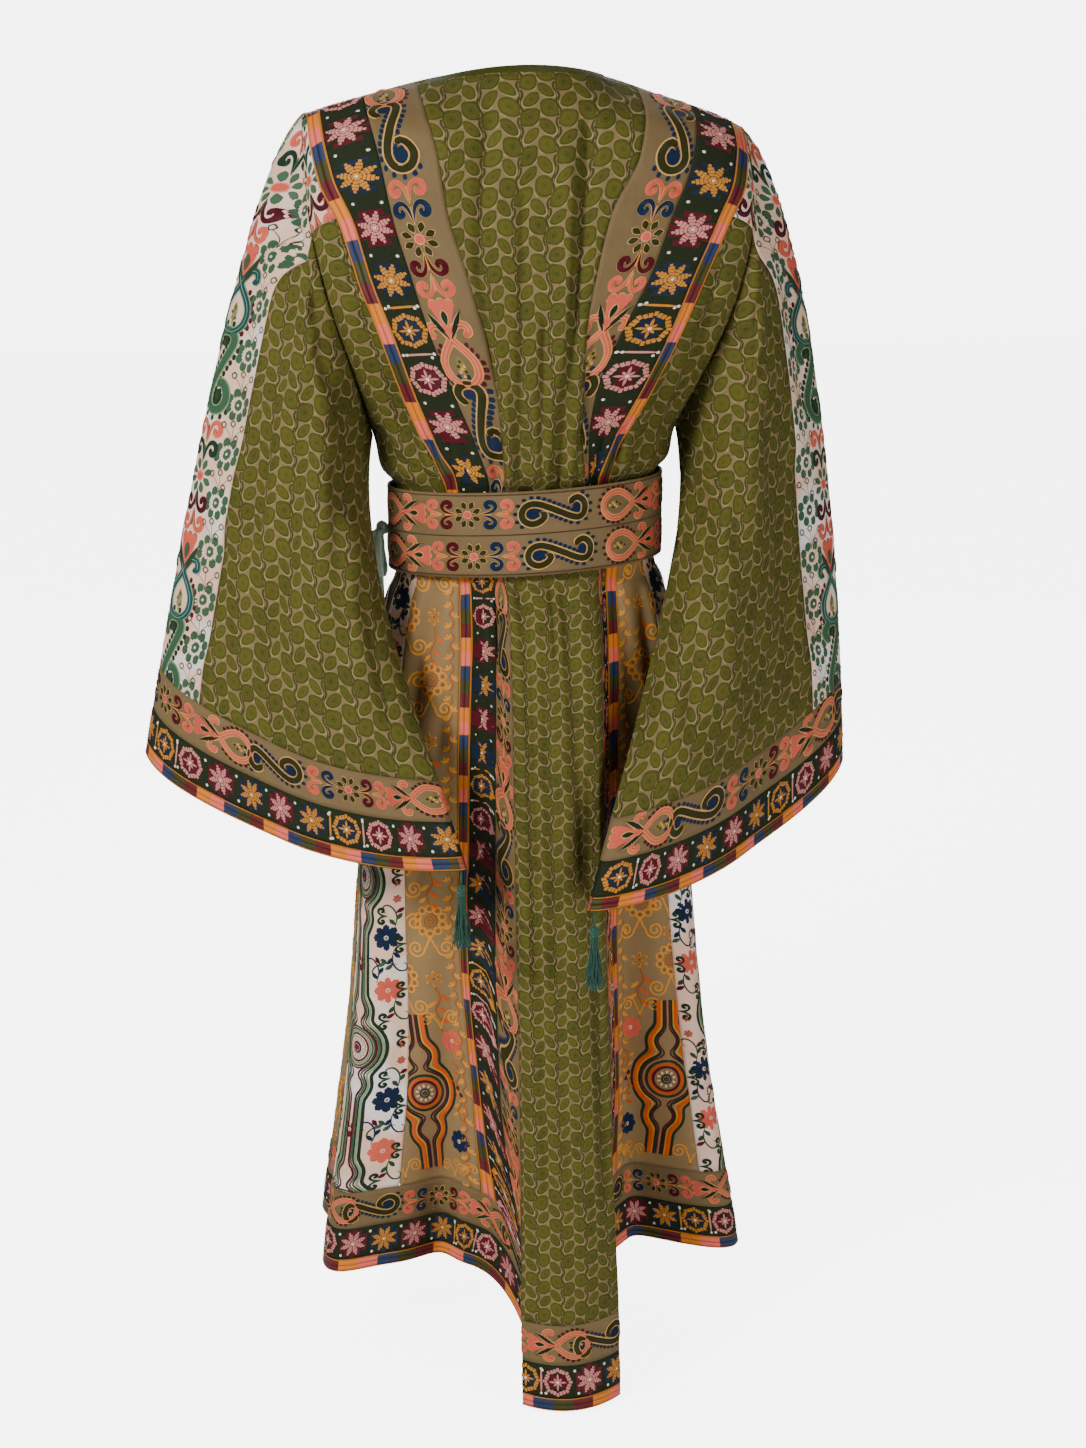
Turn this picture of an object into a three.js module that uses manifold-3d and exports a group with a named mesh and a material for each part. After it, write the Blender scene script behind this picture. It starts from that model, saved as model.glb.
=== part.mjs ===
// A long embroidered thobe with bell sleeves, a belt and a train, hollow and open as it is when worn.
// Millimetres, +Z up. The origin is the middle of the neck opening at shoulder height, the back faces -Y
// and +X is the right hand of someone who stands behind the garment.
import * as THREE from "three";
import { mergeVertices } from "three/addons/utils/BufferGeometryUtils.js";
import Module from "manifold-3d";

const wasm = await Module();
wasm.setup();

// ---------------------------------------------------------------- driving sizes
const CLOTH = 1.6; // wall of the embroidered cloth and its backing
const SEAM = 0.4; // gap between two pieces at a seam
const NECK_HALF = 90; // from the middle of the neck to the shoulder line
const NECK_BACK = { depth: 65, rise: 10 };
const NECK_FRONT = { depth: 72, rise: -75 };
const SHOULDER = { half: 249, dropLeft: 42, dropRight: 58 }; // where the sleeve is sewn on
const RIDGE_GAP = 0.65; // each panel stops this far from the shoulder line
const WAIST_Z = -500;
const BELT_TOP = -452;
const HEM_Z = -1385; // the hem at the sides and the front
const TRAIN_DROP = 103; // the train hangs this much lower
const WAIST_TILT = { rise: 0.045, reach: 120 }; // the belt sits higher on the right
const RIBBON = { scroll: 48, star: 40, stripe: 16 }; // the three ribbons of every border
const BORDER = RIBBON.scroll + RIBBON.star + RIBBON.stripe;

const PAINT = {
  leafCloth: { color: 0x5f6b2c, roughness: 0.9 },
  scrollRibbon: { color: 0x8c7a5c, roughness: 0.8 },
  starRibbon: { color: 0x37402c, roughness: 0.9 },
  stripeRibbon: { color: 0x9c4a3f, roughness: 0.75 },
  goldCloth: { color: 0x8f7c58, roughness: 0.75 },
  flowerCloth: { color: 0xe2cdbb, roughness: 0.75 },
  tieSatin: { color: 0xc4d6bd, roughness: 0.5 },
  tasselSilk: { color: 0x1f5a44, roughness: 0.6 },
};

// ---------------------------------------------------------------- the body of the thobe as rings
// Each ring is an oval at one height. z and depth are given at the back, the armhole edge and the front.
const BODICE_RINGS = Object.values({
  yoke: { backZ: -48, edgeZ: -104, frontZ: -122, half: 250, back: 104, backArm: 52, frontArm: 48, front: 100 },
  blade: { backZ: -130, edgeZ: -170, frontZ: -178, half: 245, back: 124, backArm: 84, frontArm: 72, front: 119 },
  chest: { backZ: -230, edgeZ: -250, frontZ: -255, half: 226, back: 131, backArm: 84, frontArm: 72, front: 128 },
  rib: { backZ: -320, edgeZ: -330, frontZ: -330, half: 198, back: 128, backArm: 52, frontArm: 45, front: 122 },
  armpit: { backZ: -395, edgeZ: -395, frontZ: -395, half: 176, back: 126, backArm: 0, frontArm: 0, front: 116 },
  blouse: { backZ: -430, edgeZ: -430, frontZ: -430, half: 168, back: 123, backArm: 0, frontArm: 0, front: 113 },
  tuck: { backZ: -453, edgeZ: -453, frontZ: -453, half: 151, back: 112, backArm: 0, frontArm: 0, front: 102 },
  waist: { backZ: -500, edgeZ: -500, frontZ: -500, half: 150, back: 110, backArm: 0, frontArm: 0, front: 100 },
});
const OVER_SHOULDER = { share: 0.42, lift: 4, lean: 10 }; // the round of the shoulder, between line and yoke
const ARMPIT_ROW = 6; // rows: 0 shoulder line, 1 over the shoulder, then the rings in turn
const WAIST_ROW = 9;
const HEM_ROW = 10;
const SKIRT_RINGS = [
  { z: -500, half: 150, back: 110, front: 100, shift: 0 },
  { z: -547, half: 151, back: 112, front: 101, shift: 0 },
  { z: -580, half: 163, back: 120, front: 110, shift: 0 },
  { z: -660, half: 181, back: 129, front: 120, shift: -2 },
  { z: -930, half: 201, back: 133, front: 128, shift: -7 },
  { z: -1110, half: 213, back: 136, front: 135, shift: -9 },
  { z: -1240, half: 228, back: 139, front: 143, shift: -10 },
  { z: -1390, half: 248, back: 142, front: 152, shift: -10 },
  { z: -1500, half: 258, back: 144, front: 158, shift: -10 },
];
// The wide box pleat of the centre back, which becomes the train. Its top is flat between two edges,
// each flank falls back to the skirt over its own width, and the tuck draws the flanks in under the top.
const TRAIN_PLEAT = [
  { z: -120, reach: 0, leftEdge: -50, leftFlank: 34, rightEdge: 48, rightFlank: 30, tuck: 0 },
  { z: -250, reach: 5, leftEdge: -50, leftFlank: 26, rightEdge: 45, rightFlank: 15, tuck: 0 },
  { z: -360, reach: 10, leftEdge: -42, leftFlank: 20, rightEdge: 42, rightFlank: 12, tuck: 0 },
  { z: -430, reach: 12, leftEdge: -34, leftFlank: 18, rightEdge: 44, rightFlank: 11, tuck: 0 },
  { z: -455, reach: 3, leftEdge: -30, leftFlank: 20, rightEdge: 46, rightFlank: 14, tuck: 0 },
  { z: -547, reach: 4, leftEdge: -27, leftFlank: 22, rightEdge: 62, rightFlank: 16, tuck: 0 },
  { z: -590, reach: 20, leftEdge: -25, leftFlank: 28, rightEdge: 62, rightFlank: 16, tuck: 0 },
  { z: -700, reach: 38, leftEdge: -24, leftFlank: 36, rightEdge: 62, rightFlank: 18, tuck: 0 },
  { z: -900, reach: 62, leftEdge: -22, leftFlank: 50, rightEdge: 61, rightFlank: 24, tuck: 0 },
  { z: -1150, reach: 104, leftEdge: -28, leftFlank: 60, rightEdge: 66, rightFlank: 36, tuck: 6 },
  { z: -1290, reach: 130, leftEdge: -38, leftFlank: 58, rightEdge: 68, rightFlank: 42, tuck: 24 },
  { z: -1385, reach: 146, leftEdge: -43, leftFlank: 48, rightEdge: 70, rightFlank: 46, tuck: 38 },
  { z: -1500, reach: 160, leftEdge: -44, leftFlank: 48, rightEdge: 70, rightFlank: 46, tuck: 42 },
];
const TRAIN_CROWN = 0.1; // the pleat's top is this much rounder at its edges than in its middle
// Soft troughs in the back of the bodice, from the height where each starts down to the belt.
const BODICE_FOLDS = [
  { x: -13, from: -330, spread: 8, reach: -4 },
  { x: 17, from: -190, spread: 9, reach: -4.5 },
];
// The other folds of the skirt, by their angle from the centre back. Reach is outward, at the hem.
const SKIRT_FOLDS = [
  { angle: -29, spread: 8, reach: -34 },
  { angle: -60, spread: 13, reach: 36 },
  { angle: -91, spread: 11, reach: -20 },
  { angle: -121, spread: 14, reach: 26 },
  { angle: -149, spread: 11, reach: -20 },
  { angle: 180, spread: 15, reach: 24 },
  { angle: 149, spread: 11, reach: -22 },
  { angle: 120, spread: 14, reach: 28 },
  { angle: 91, spread: 11, reach: -18 },
  { angle: 62, spread: 13, reach: 50 },
  { angle: 36, spread: 9, reach: -36 },
];
const SKIRT_SLOPE = 1.045; // the skirt's cloth is this much longer than its drop
const CORNER_DIP = 12; // the hem hangs lower at the two folds beside the train
const FOLD_START_Z = -560;
const GATHERS = { count: 20, reach: 2.4, startZ: -549, fade: 130 }; // small pleats that the belt presses in

// Where the seams of the back lie, as the distance from the middle of the back on the ring without its pleat.
const BACK_SEAMS = [
  { z: -10, leafL: 122, scrollL: 182, starL: 230, stripeL: 245, leafR: 124, scrollR: 183, starR: 231, stripeR: 246 },
  { z: -80, leafL: 110, scrollL: 171, starL: 221, stripeL: 237, leafR: 112, scrollR: 172, starR: 222, stripeR: 238 },
  { z: -142, leafL: 101, scrollL: 160, starL: 200, stripeL: 216, leafR: 80, scrollR: 148, starR: 199, stripeR: 214 },
  { z: -210, leafL: 81, scrollL: 141, starL: 182, stripeL: 199, leafR: 62, scrollR: 123, starR: 171, stripeR: 187 },
  { z: -280, leafL: 62, scrollL: 119, starL: 157, stripeL: 174, leafR: 50, scrollR: 88, starR: 144, stripeR: 159 },
  { z: -350, leafL: 52, scrollL: 91, starL: 132, stripeL: 148, leafR: 48, scrollR: 61, starR: 111, stripeR: 126 },
  { z: -400, leafL: 46, scrollL: 70, starL: 111, stripeL: 126, leafR: 49, scrollR: 55, starR: 84, stripeR: 99 },
  { z: -450, leafL: 39, scrollL: 55, starL: 88, stripeL: 102, leafR: 52, scrollR: 57, starR: 68, stripeR: 84 },
  { z: -550, leafL: 37, scrollL: 51, starL: 77, stripeL: 91, leafR: 69, scrollR: 74, starR: 79, stripeR: 96 },
  { z: -800, leafL: 36, scrollL: 54, starL: 84, stripeL: 98, leafR: 69, scrollR: 75, starR: 81, stripeR: 97 },
  { z: -1000, leafL: 37, scrollL: 58, starL: 88, stripeL: 100, leafR: 70, scrollR: 77, starR: 86, stripeR: 100 },
  { z: -1250, leafL: 45, scrollL: 63, starL: 78, stripeL: 86, leafR: 76, scrollR: 89, starR: 103, stripeR: 111 },
  { z: -1500, leafL: 52, scrollL: 67, starL: 82, stripeL: 90, leafR: 78, scrollR: 94, starR: 108, stripeR: 115 },
];
// The seams beside the flowered side panel, as angles from the centre back.
const SIDE_SEAMS = [
  { z: -500, goldEndL: 63, flowerEndL: 92, goldEndR: 60, flowerEndR: 90 },
  { z: -650, goldEndL: 56, flowerEndL: 84, goldEndR: 56, flowerEndR: 86 },
  { z: -930, goldEndL: 47, flowerEndL: 80, goldEndR: 53, flowerEndR: 84 },
  { z: -1200, goldEndL: 42, flowerEndL: 92, goldEndR: 54, flowerEndR: 96 },
  { z: -1500, goldEndL: 43, flowerEndL: 104, goldEndR: 54, flowerEndR: 106 },
];

// ---------------------------------------------------------------- the sleeves, which differ in how they hang
// Each grain line of a sleeve is a cubic curve from the armhole to the cuff. leave and arrive are the
// control handles at its two ends, for the underarm, back, top and front line. x counts outward.
const SLEEVES = {
  left: {
    side: -1,
    innerCorner: [102, -228, -854],
    outerCorner: [452, 2, -763],
    cuffHalf: 36,
    cuffSag: 30,
    leave: { under: [26, -34, -120], back: [24, -34, -150], top: [62, 0, -52], front: [24, 30, -150] },
    arrive: { under: [52, 62, 180], back: [-4, 22, 240], top: [-58, 0, 290], front: [-4, 10, 240] },
  },
  right: {
    side: 1,
    innerCorner: [38, -252, -901],
    outerCorner: [392, -2, -796],
    cuffHalf: 36,
    cuffSag: 26,
    leave: { under: [22, -34, -120], back: [22, -34, -150], top: [72, 0, -48], front: [22, 30, -150] },
    arrive: { under: [62, 66, 180], back: [2, 24, 240], top: [-12, 0, 300], front: [2, 10, 240] },
  },
};
const SLEEVE_SEAM = { back: 0.25, front: 0.65 }; // the flowered top panel's share of the girth at the armhole
const SEAM_DRIFT = { most: 0.1, by: 0.3 }; // its back seam swings up by this much over this share of the length
const SEAM_GIRTH = 0.0004; // half a seam, as a share of the girth
const SLEEVE_FLUTES = { count: 5, reach: 4, start: 0.35, turn: 0.6 };
const SLEEVE_ROOT = [215, 0, -230]; // the middle of the armhole

// ---------------------------------------------------------------- belt, tie and tassels
const BELT = { half: 158.5, back: 122, front: 108, height: 96, middle: -497, wall: 2.4, columns: 48 };
// The tie's knot, the way its ribbons stand out from it, and their paths as how far out and down from it.
const TIE = {
  wall: 1.2,
  width: 22,
  gathered: 0.35,
  knot: [-168.4, -4, -506],
  forward: [-0.62, -0.78, 0],
  loop: [[1, 0], [12, 5], [17, 26], [16, 46], [11, 54], [6, 46], [5, 26], [2, 2]],
  tail: [[1, 2], [9, 24], [11, 56], [10, 90]],
};
const TASSEL = {
  cord: 16,
  cordRadius: 1.2,
  headRadius: 5.5,
  headHeight: 13,
  strands: 30,
  strand: 1.5,
  length: 66,
  uneven: 0.12,
  rootRadius: 4,
  endRadius: 11,
};

// ---------------------------------------------------------------- small helpers
const rad = THREE.MathUtils.degToRad;
const smooth = (x) => THREE.MathUtils.smoothstep(x, 0, 1);
const lerp = THREE.MathUtils.lerp;

// A value read from a table at a height, eased between the rows. The heights fall from row to row.
function read(table, z, column) {
  let i = table.findIndex((row) => row.z <= z);
  if (i < 0) return table[table.length - 1][column];
  if (i === 0) return table[0][column];
  const above = table[i - 1];
  const below = table[i];
  const before = table[Math.max(0, i - 2)];
  const after = table[Math.min(table.length - 1, i + 1)];
  const h = above.z - below.z;
  const t = (above.z - z) / h;
  const slope = (a, b) => (b[column] - a[column]) / Math.max(1, a.z - b.z);
  const m0 = limited(slope(before, above), slope(above, below)) * h;
  const m1 = limited(slope(above, below), slope(below, after)) * h;
  const t2 = t * t;
  const t3 = t2 * t;
  return (
    (2 * t3 - 3 * t2 + 1) * above[column] +
    (t3 - 2 * t2 + t) * m0 +
    (3 * t2 - 2 * t3) * below[column] +
    (t3 - t2) * m1
  );
}

// The slope at a row: none where the values turn round, so that a curve never swings past its rows.
function limited(a, b) {
  return a * b <= 0 ? 0 : (2 * a * b) / (a + b);
}

function catmullRom(p, t) {
  const [a, b, c, d] = p;
  const out = new THREE.Vector3();
  for (const k of ["x", "y", "z"])
    out[k] =
      0.5 *
      (2 * b[k] +
        (c[k] - a[k]) * t +
        (2 * a[k] - 5 * b[k] + 4 * c[k] - d[k]) * t * t +
        (3 * b[k] - a[k] - 3 * c[k] + d[k]) * t * t * t);
  return out;
}

// ---------------------------------------------------------------- the body surface
// The neck opening and the shoulder line at an angle round the body, on the back or the front panel.
function shoulderLine(angle, onBack) {
  const x = SHOULDER.half * Math.sin(angle);
  const neck = onBack ? NECK_BACK : NECK_FRONT;
  const way = onBack ? -1 : 1;
  const share = Math.abs(x) / NECK_HALF;
  if (share < 1) {
    const arch = Math.sqrt(1 - share * share);
    const rise = onBack ? arch * arch : Math.pow(arch, 0.8);
    return new THREE.Vector3(x, way * (neck.depth * arch + RIDGE_GAP), neck.rise * rise);
  }
  const out = (Math.abs(x) - NECK_HALF) / (SHOULDER.half - NECK_HALF);
  const drop = x < 0 ? SHOULDER.dropLeft : SHOULDER.dropRight;
  return new THREE.Vector3(x, way * RIDGE_GAP, -drop * Math.pow(out, 1.15));
}

function bodiceRow(row, angle, onBack) {
  const across = Math.sin(angle);
  const along = Math.abs(Math.cos(angle));
  if (row <= 0) return shoulderLine(angle, onBack);
  if (row === 1) {
    const line = shoulderLine(angle, onBack);
    const yoke = bodiceRow(2, angle, onBack);
    const lift = OVER_SHOULDER.lift + OVER_SHOULDER.lean * Math.abs(across);
    return line.lerp(yoke, OVER_SHOULDER.share).add(new THREE.Vector3(0, 0, lift));
  }
  const ring = BODICE_RINGS[Math.min(row, WAIST_ROW) - 2];
  const arm = onBack ? -ring.backArm : ring.frontArm;
  const middle = onBack ? -ring.back : ring.front;
  const middleZ = onBack ? ring.backZ : ring.frontZ;
  return new THREE.Vector3(ring.half * across, lerp(arm, middle, along), lerp(ring.edgeZ, middleZ, along));
}

// How far a place across the back is up the pleat's flanks: 0 on the skirt, 1 on the pleat's flat top.
// pull is the way the tuck draws it, towards the pleat's middle and most half way up a flank.
function pleatAt(x, z) {
  const leftEdge = read(TRAIN_PLEAT, z, "leftEdge");
  const rightEdge = read(TRAIN_PLEAT, z, "rightEdge");
  const left = 1 - smooth((leftEdge - x) / read(TRAIN_PLEAT, z, "leftFlank"));
  const right = 1 - smooth((x - rightEdge) / read(TRAIN_PLEAT, z, "rightFlank"));
  const middle = (leftEdge + rightEdge) / 2;
  const offset = Math.min(1, Math.abs(x - middle) / ((rightEdge - leftEdge) / 2));
  const height = left * right;
  const crowned = height * (1 - TRAIN_CROWN * offset * offset);
  return { height, crowned, pull: 4 * (left * (1 - left) - right * (1 - right)) };
}

function hemHeight(angle) {
  if (Math.cos(angle) <= 0) return HEM_Z;
  const across = read(SKIRT_RINGS, HEM_Z, "half") * Math.sin(angle) + read(SKIRT_RINGS, HEM_Z, "shift");
  const { height, crowned } = pleatAt(across, HEM_Z);
  const dip = CORNER_DIP * Math.exp(-Math.pow((Math.abs(angle) - rad(62)) / rad(14), 2));
  return HEM_Z - dip - TRAIN_DROP * lerp(crowned, smooth(height / 0.8), 0.75);
}

function angleBetween(a, b) {
  const turn = Math.PI * 2;
  return ((((a - b + Math.PI) % turn) + turn) % turn) - Math.PI;
}

// How far the bodice's folds push the cloth outward. They run out under the belt.
function bodiceFolds(x, z) {
  const underBelt = smooth((BELT_TOP - z) / 30);
  let reach = 0;
  for (const fold of BODICE_FOLDS) {
    const away = (x - fold.x) / fold.spread;
    reach += fold.reach * Math.exp(-away * away) * smooth((fold.from - z) / (fold.from - BELT_TOP));
  }
  return reach * (1 - underBelt);
}

// How far the skirt's soft folds and the small gathers push the cloth outward.
function foldReach(angle, z) {
  const grown = Math.pow(Math.max(0, (FOLD_START_Z - z) / (FOLD_START_Z - HEM_Z)), 1.25);
  let reach = 0;
  for (const fold of SKIRT_FOLDS) {
    const away = angleBetween(angle, rad(fold.angle)) / rad(fold.spread);
    reach += fold.reach * Math.exp(-away * away) * grown;
  }
  const below = smooth((GATHERS.startZ - z) / 30) * Math.exp((z - GATHERS.startZ) / GATHERS.fade);
  return reach + GATHERS.reach * below * Math.cos(GATHERS.count * angle);
}

// A point of the cloth's outer side. angle is measured from the centre back, row runs from 0 at the
// shoulder line through 9 at the waist to 10 at the hem.
function body(angle, row, onBack = Math.cos(angle) >= 0) {
  let p;
  if (row < WAIST_ROW) {
    const i = Math.floor(row);
    const rows = [i - 1, i, i + 1, i + 2].map((k) => {
      if (k >= 0 && k <= WAIST_ROW) return bodiceRow(k, angle, onBack);
      if (k < 0) return bodiceRow(0, angle, onBack).multiplyScalar(2).sub(bodiceRow(1, angle, onBack));
      return skirtPoint(angle, WAIST_Z - 40);
    });
    p = catmullRom(rows, row - i);
  } else {
    p = skirtPoint(angle, lerp(WAIST_Z, hemHeight(angle), row - WAIST_ROW));
  }
  if (onBack) {
    const { crowned, pull } = pleatAt(p.x, p.z);
    p.x += read(TRAIN_PLEAT, p.z, "tuck") * pull;
    p.y -= read(TRAIN_PLEAT, p.z, "reach") * crowned + bodiceFolds(p.x, p.z);
  }
  const near = (p.z - BELT.middle) / WAIST_TILT.reach;
  p.z += WAIST_TILT.rise * p.x * Math.exp(-near * near);
  return p;
}

function skirtPoint(angle, z) {
  const half = read(SKIRT_RINGS, z, "half");
  const depth = read(SKIRT_RINGS, z, Math.cos(angle) >= 0 ? "back" : "front");
  const across = half * Math.sin(angle) + read(SKIRT_RINGS, z, "shift");
  const p = new THREE.Vector3(across, -depth * Math.cos(angle), z);
  const outward = new THREE.Vector3(Math.sin(angle) * depth, -Math.cos(angle) * half, 0).normalize();
  return p.addScaledVector(outward, foldReach(angle, z));
}

// The way out of the cloth at a point of a surface given as a function of two parameters.
function outwardAt(surface, u, v, du, dv) {
  const along = surface(u + du, v).sub(surface(u - du, v));
  const down = surface(u, v + dv).sub(surface(u, v - dv));
  return down.cross(along).normalize();
}

// ---------------------------------------------------------------- a cloth wall from a grid of outer points
// points[i][j] and outward[i][j] run down the piece with i and across it with j, left to right as seen
// from outside. closed joins the last column to the first.
function clothWall(points, outward, wall, closed = false) {
  const rows = points.length;
  const columns = points[0].length;
  const position = [];
  const index = [];
  for (const inner of [0, 1])
    for (let i = 0; i < rows; i++)
      for (let j = 0; j < columns; j++) {
        const p = points[i][j].clone().addScaledVector(outward[i][j], -wall * inner);
        position.push(p.x, p.y, p.z);
      }
  const at = (inner, i, j) => inner * rows * columns + i * columns + (j % columns);
  const quad = (a, b, c, d) => index.push(a, b, c, a, c, d);
  const spans = closed ? columns : columns - 1;
  for (let i = 0; i < rows - 1; i++)
    for (let j = 0; j < spans; j++) {
      quad(at(0, i, j), at(0, i + 1, j), at(0, i + 1, j + 1), at(0, i, j + 1));
      quad(at(1, i, j), at(1, i, j + 1), at(1, i + 1, j + 1), at(1, i + 1, j));
    }
  for (let j = 0; j < spans; j++) {
    quad(at(0, 0, j), at(0, 0, j + 1), at(1, 0, j + 1), at(1, 0, j));
    quad(at(0, rows - 1, j), at(1, rows - 1, j), at(1, rows - 1, j + 1), at(0, rows - 1, j + 1));
  }
  if (!closed)
    for (let i = 0; i < rows - 1; i++) {
      quad(at(0, i, 0), at(1, i, 0), at(1, i + 1, 0), at(0, i + 1, 0));
      quad(at(0, i, spans), at(0, i + 1, spans), at(1, i + 1, spans), at(1, i, spans));
    }
  const geometry = new THREE.BufferGeometry();
  geometry.setAttribute("position", new THREE.Float32BufferAttribute(position, 3));
  geometry.setIndex(index);
  geometry.computeVertexNormals();
  return geometry;
}

const thobe = new THREE.Group();

function addPiece(name, paint, geometry) {
  const material = new THREE.MeshStandardMaterial({ metalness: 0, ...PAINT[paint] });
  const mesh = new THREE.Mesh(geometry, material);
  mesh.name = name;
  thobe.add(mesh);
  return mesh;
}

// ---------------------------------------------------------------- the body's panels and ribbons
// The angle of a named seam at a row. Left seams are negative.
function backSeam(name, row) {
  const side = name.endsWith("L") ? -1 : 1;
  const z = row < WAIST_ROW ? body(0, row).z : lerp(WAIST_Z, HEM_Z - TRAIN_DROP * 0.6, row - WAIST_ROW);
  const onSkirt = row >= WAIST_ROW;
  const half = onSkirt ? read(SKIRT_RINGS, z, "half") : Math.abs(body(Math.PI / 2, row, true).x);
  const shift = onSkirt ? read(SKIRT_RINGS, z, "shift") : 0;
  return Math.asin(THREE.MathUtils.clamp((side * read(BACK_SEAMS, z, name) - shift) / half, -0.995, 0.995));
}

function sideSeam(name, side, row) {
  const column = name + (side < 0 ? "L" : "R");
  return side * rad(read(SIDE_SEAMS, lerp(WAIST_Z, HEM_Z, row - WAIST_ROW), column));
}

// The row on which a line lies that keeps a distance from the hem.
function rowAboveHem(angle, distance) {
  const length = (WAIST_Z - hemHeight(angle)) * SKIRT_SLOPE;
  return HEM_ROW - distance / length;
}

const BODY_RADIUS = 200;
const SEAM_ANGLE = SEAM / 2 / BODY_RADIUS; // half a seam, as an angle round the body
const STEP = 0.004; // for slopes, as an angle or a row
const CROWDED = 0.08; // the angle beside the sleeve's seam where the rings crowd together
const RIDGE_BAND = 25; // the wall stands straight down nearer than this to the shoulder line
const hemAngles = []; // the columns of the panels where they meet the hem's border

// The way out of the body's cloth. Above the yoke the rings crowd together at the sleeve's seam, so the
// way out is taken a little inside it, and on the shoulder line the wall stands straight down, so that
// the back and front panels meet flat.
function bodyNormal(angle, row, onBack) {
  const surface = (a, r) => body(a, r, onBack);
  if (row >= 2) return outwardAt(surface, angle, row, STEP, STEP);
  const centre = onBack ? 0 : Math.PI;
  const most = Math.PI / 2 - CROWDED;
  const inside = centre + THREE.MathUtils.clamp(angle - centre, -most, most);
  const normal = outwardAt(surface, inside, row, STEP, STEP);
  if (row < 0.5) normal.y *= Math.min(1, Math.abs(body(angle, row, onBack).y) / RIDGE_BAND);
  return normal.normalize();
}

// A panel between two seams, from one row to another. from and to give the seam's angle at a row;
// toHem ends it above the hem border, onBack says which side of the shoulder it belongs to, and crowd
// moves the columns towards the panel's middle.
function bodyPanel(name, paint, { from, to, rows, columns, onBack, toHem = false, crowd = 0 }) {
  const points = [];
  const outward = [];
  for (const row of rows) {
    const lineOfPoints = [];
    const lineOfNormals = [];
    for (let j = 0; j <= columns; j++) {
      const inset = SEAM_ANGLE * (1 - (2 * j) / columns);
      const even = (2 * j) / columns - 1;
      const share = 0.5 + 0.5 * even * (1 - crowd + crowd * even * even);
      let angle = lerp(from(row), to(row), share) + inset;
      let at = row;
      // the panel's own last row depends on the angle there, and the angle on the row
      for (let turn = 0; toHem && row > WAIST_ROW && turn < 6; turn++) {
        const last = rowAboveHem(angle, BORDER + SEAM);
        at = lerp(WAIST_ROW, last, row - WAIST_ROW);
        angle = lerp(from(at), to(at), share) + inset;
      }
      lineOfNormals.push(bodyNormal(angle, at, onBack));
      lineOfPoints.push(body(angle, at, onBack));
      if (toHem && row === HEM_ROW) hemAngles.push(angle);
    }
    points.push(lineOfPoints);
    outward.push(lineOfNormals);
  }
  return addPiece(name, paint, clothWall(points, outward, CLOTH));
}

const BODICE_ROWS = [0, 0.5, 1, 1.5, 2, 3, 4, 5, 6, 7, 7.6, 8];
const SKIRT_ROWS = [9, 9.055, 9.1, 9.18, 9.3, 9.46, 9.64, 9.82, 10];
const LONG_ROWS = [...BODICE_ROWS, ...SKIRT_ROWS];
// half a seam in rows, where a row is about this many millimetres long
const HALF_SEAM = { cap: SEAM / 2 / 80, waist: SEAM / 2 / 50, skirt: SEAM / 2 / 900 };
const UPPER_ROWS = [...BODICE_ROWS, WAIST_ROW - HALF_SEAM.waist];
const CAP_END = 3; // the flowered cap of the shoulder ends on this row, and the plain side begins
const CAP_ROWS = [...BODICE_ROWS.filter((row) => row < CAP_END), CAP_END - HALF_SEAM.cap];
const SIDE_ROWS = [CAP_END + HALF_SEAM.cap, ...UPPER_ROWS.filter((row) => row > CAP_END)];
const LOWER_ROWS = [WAIST_ROW + HALF_SEAM.skirt, ...SKIRT_ROWS.slice(1)];

bodyPanel("back_centre_panel", "leafCloth", {
  from: (row) => backSeam("leafL", row),
  to: (row) => backSeam("leafR", row),
  rows: LONG_ROWS,
  columns: 18,
  onBack: true,
  toHem: true,
});
const RIBBON_SEAMS = [
  { kind: "scroll", paint: "scrollRibbon", inner: "leaf", outer: "scroll", columns: 4 },
  { kind: "star", paint: "starRibbon", inner: "scroll", outer: "star", columns: 3 },
  { kind: "stripe", paint: "stripeRibbon", inner: "star", outer: "stripe", columns: 1 },
];
for (const { kind, paint, inner, outer, columns } of RIBBON_SEAMS)
  for (const [sideName, mark] of [["left", "L"], ["right", "R"]]) {
    const near = (row) => backSeam(inner + mark, row);
    const far = (row) => backSeam(outer + mark, row);
    const [from, to] = mark === "L" ? [far, near] : [near, far];
    bodyPanel(`${kind}_ribbon_${sideName}`, paint, { from, to, rows: LONG_ROWS, columns, onBack: true, toHem: true });
  }
for (const [sideName, mark, side] of [["left", "L", -1], ["right", "R", 1]]) {
  const stripe = (row) => backSeam("stripe" + mark, row);
  const sideLine = () => (side * Math.PI) / 2;
  const goldEnd = (row) => sideSeam("goldEnd", side, row);
  const flowerEnd = (row) => sideSeam("flowerEnd", side, row);
  const between = (near, far) => (side < 0 ? { from: far, to: near } : { from: near, to: far });
  bodyPanel(`sleeve_cap_${sideName}`, "flowerCloth", {
    ...between(stripe, sideLine),
    rows: CAP_ROWS,
    columns: 3,
    onBack: true,
  });
  bodyPanel(`bodice_side_${sideName}`, "leafCloth", {
    ...between(stripe, sideLine),
    rows: SIDE_ROWS,
    columns: 4,
    onBack: true,
  });
  bodyPanel(`skirt_gold_panel_${sideName}`, "goldCloth", {
    ...between(stripe, goldEnd),
    rows: LOWER_ROWS,
    columns: 6,
    toHem: true,
  });
  bodyPanel(`skirt_flower_panel_${sideName}`, "flowerCloth", {
    ...between(goldEnd, flowerEnd),
    rows: LOWER_ROWS,
    columns: 7,
    toHem: true,
  });
}
bodyPanel("front_bodice", "leafCloth", {
  from: () => Math.PI / 2,
  to: () => (3 * Math.PI) / 2,
  rows: UPPER_ROWS,
  columns: 18,
  onBack: false,
  crowd: 0.5,
});
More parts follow.
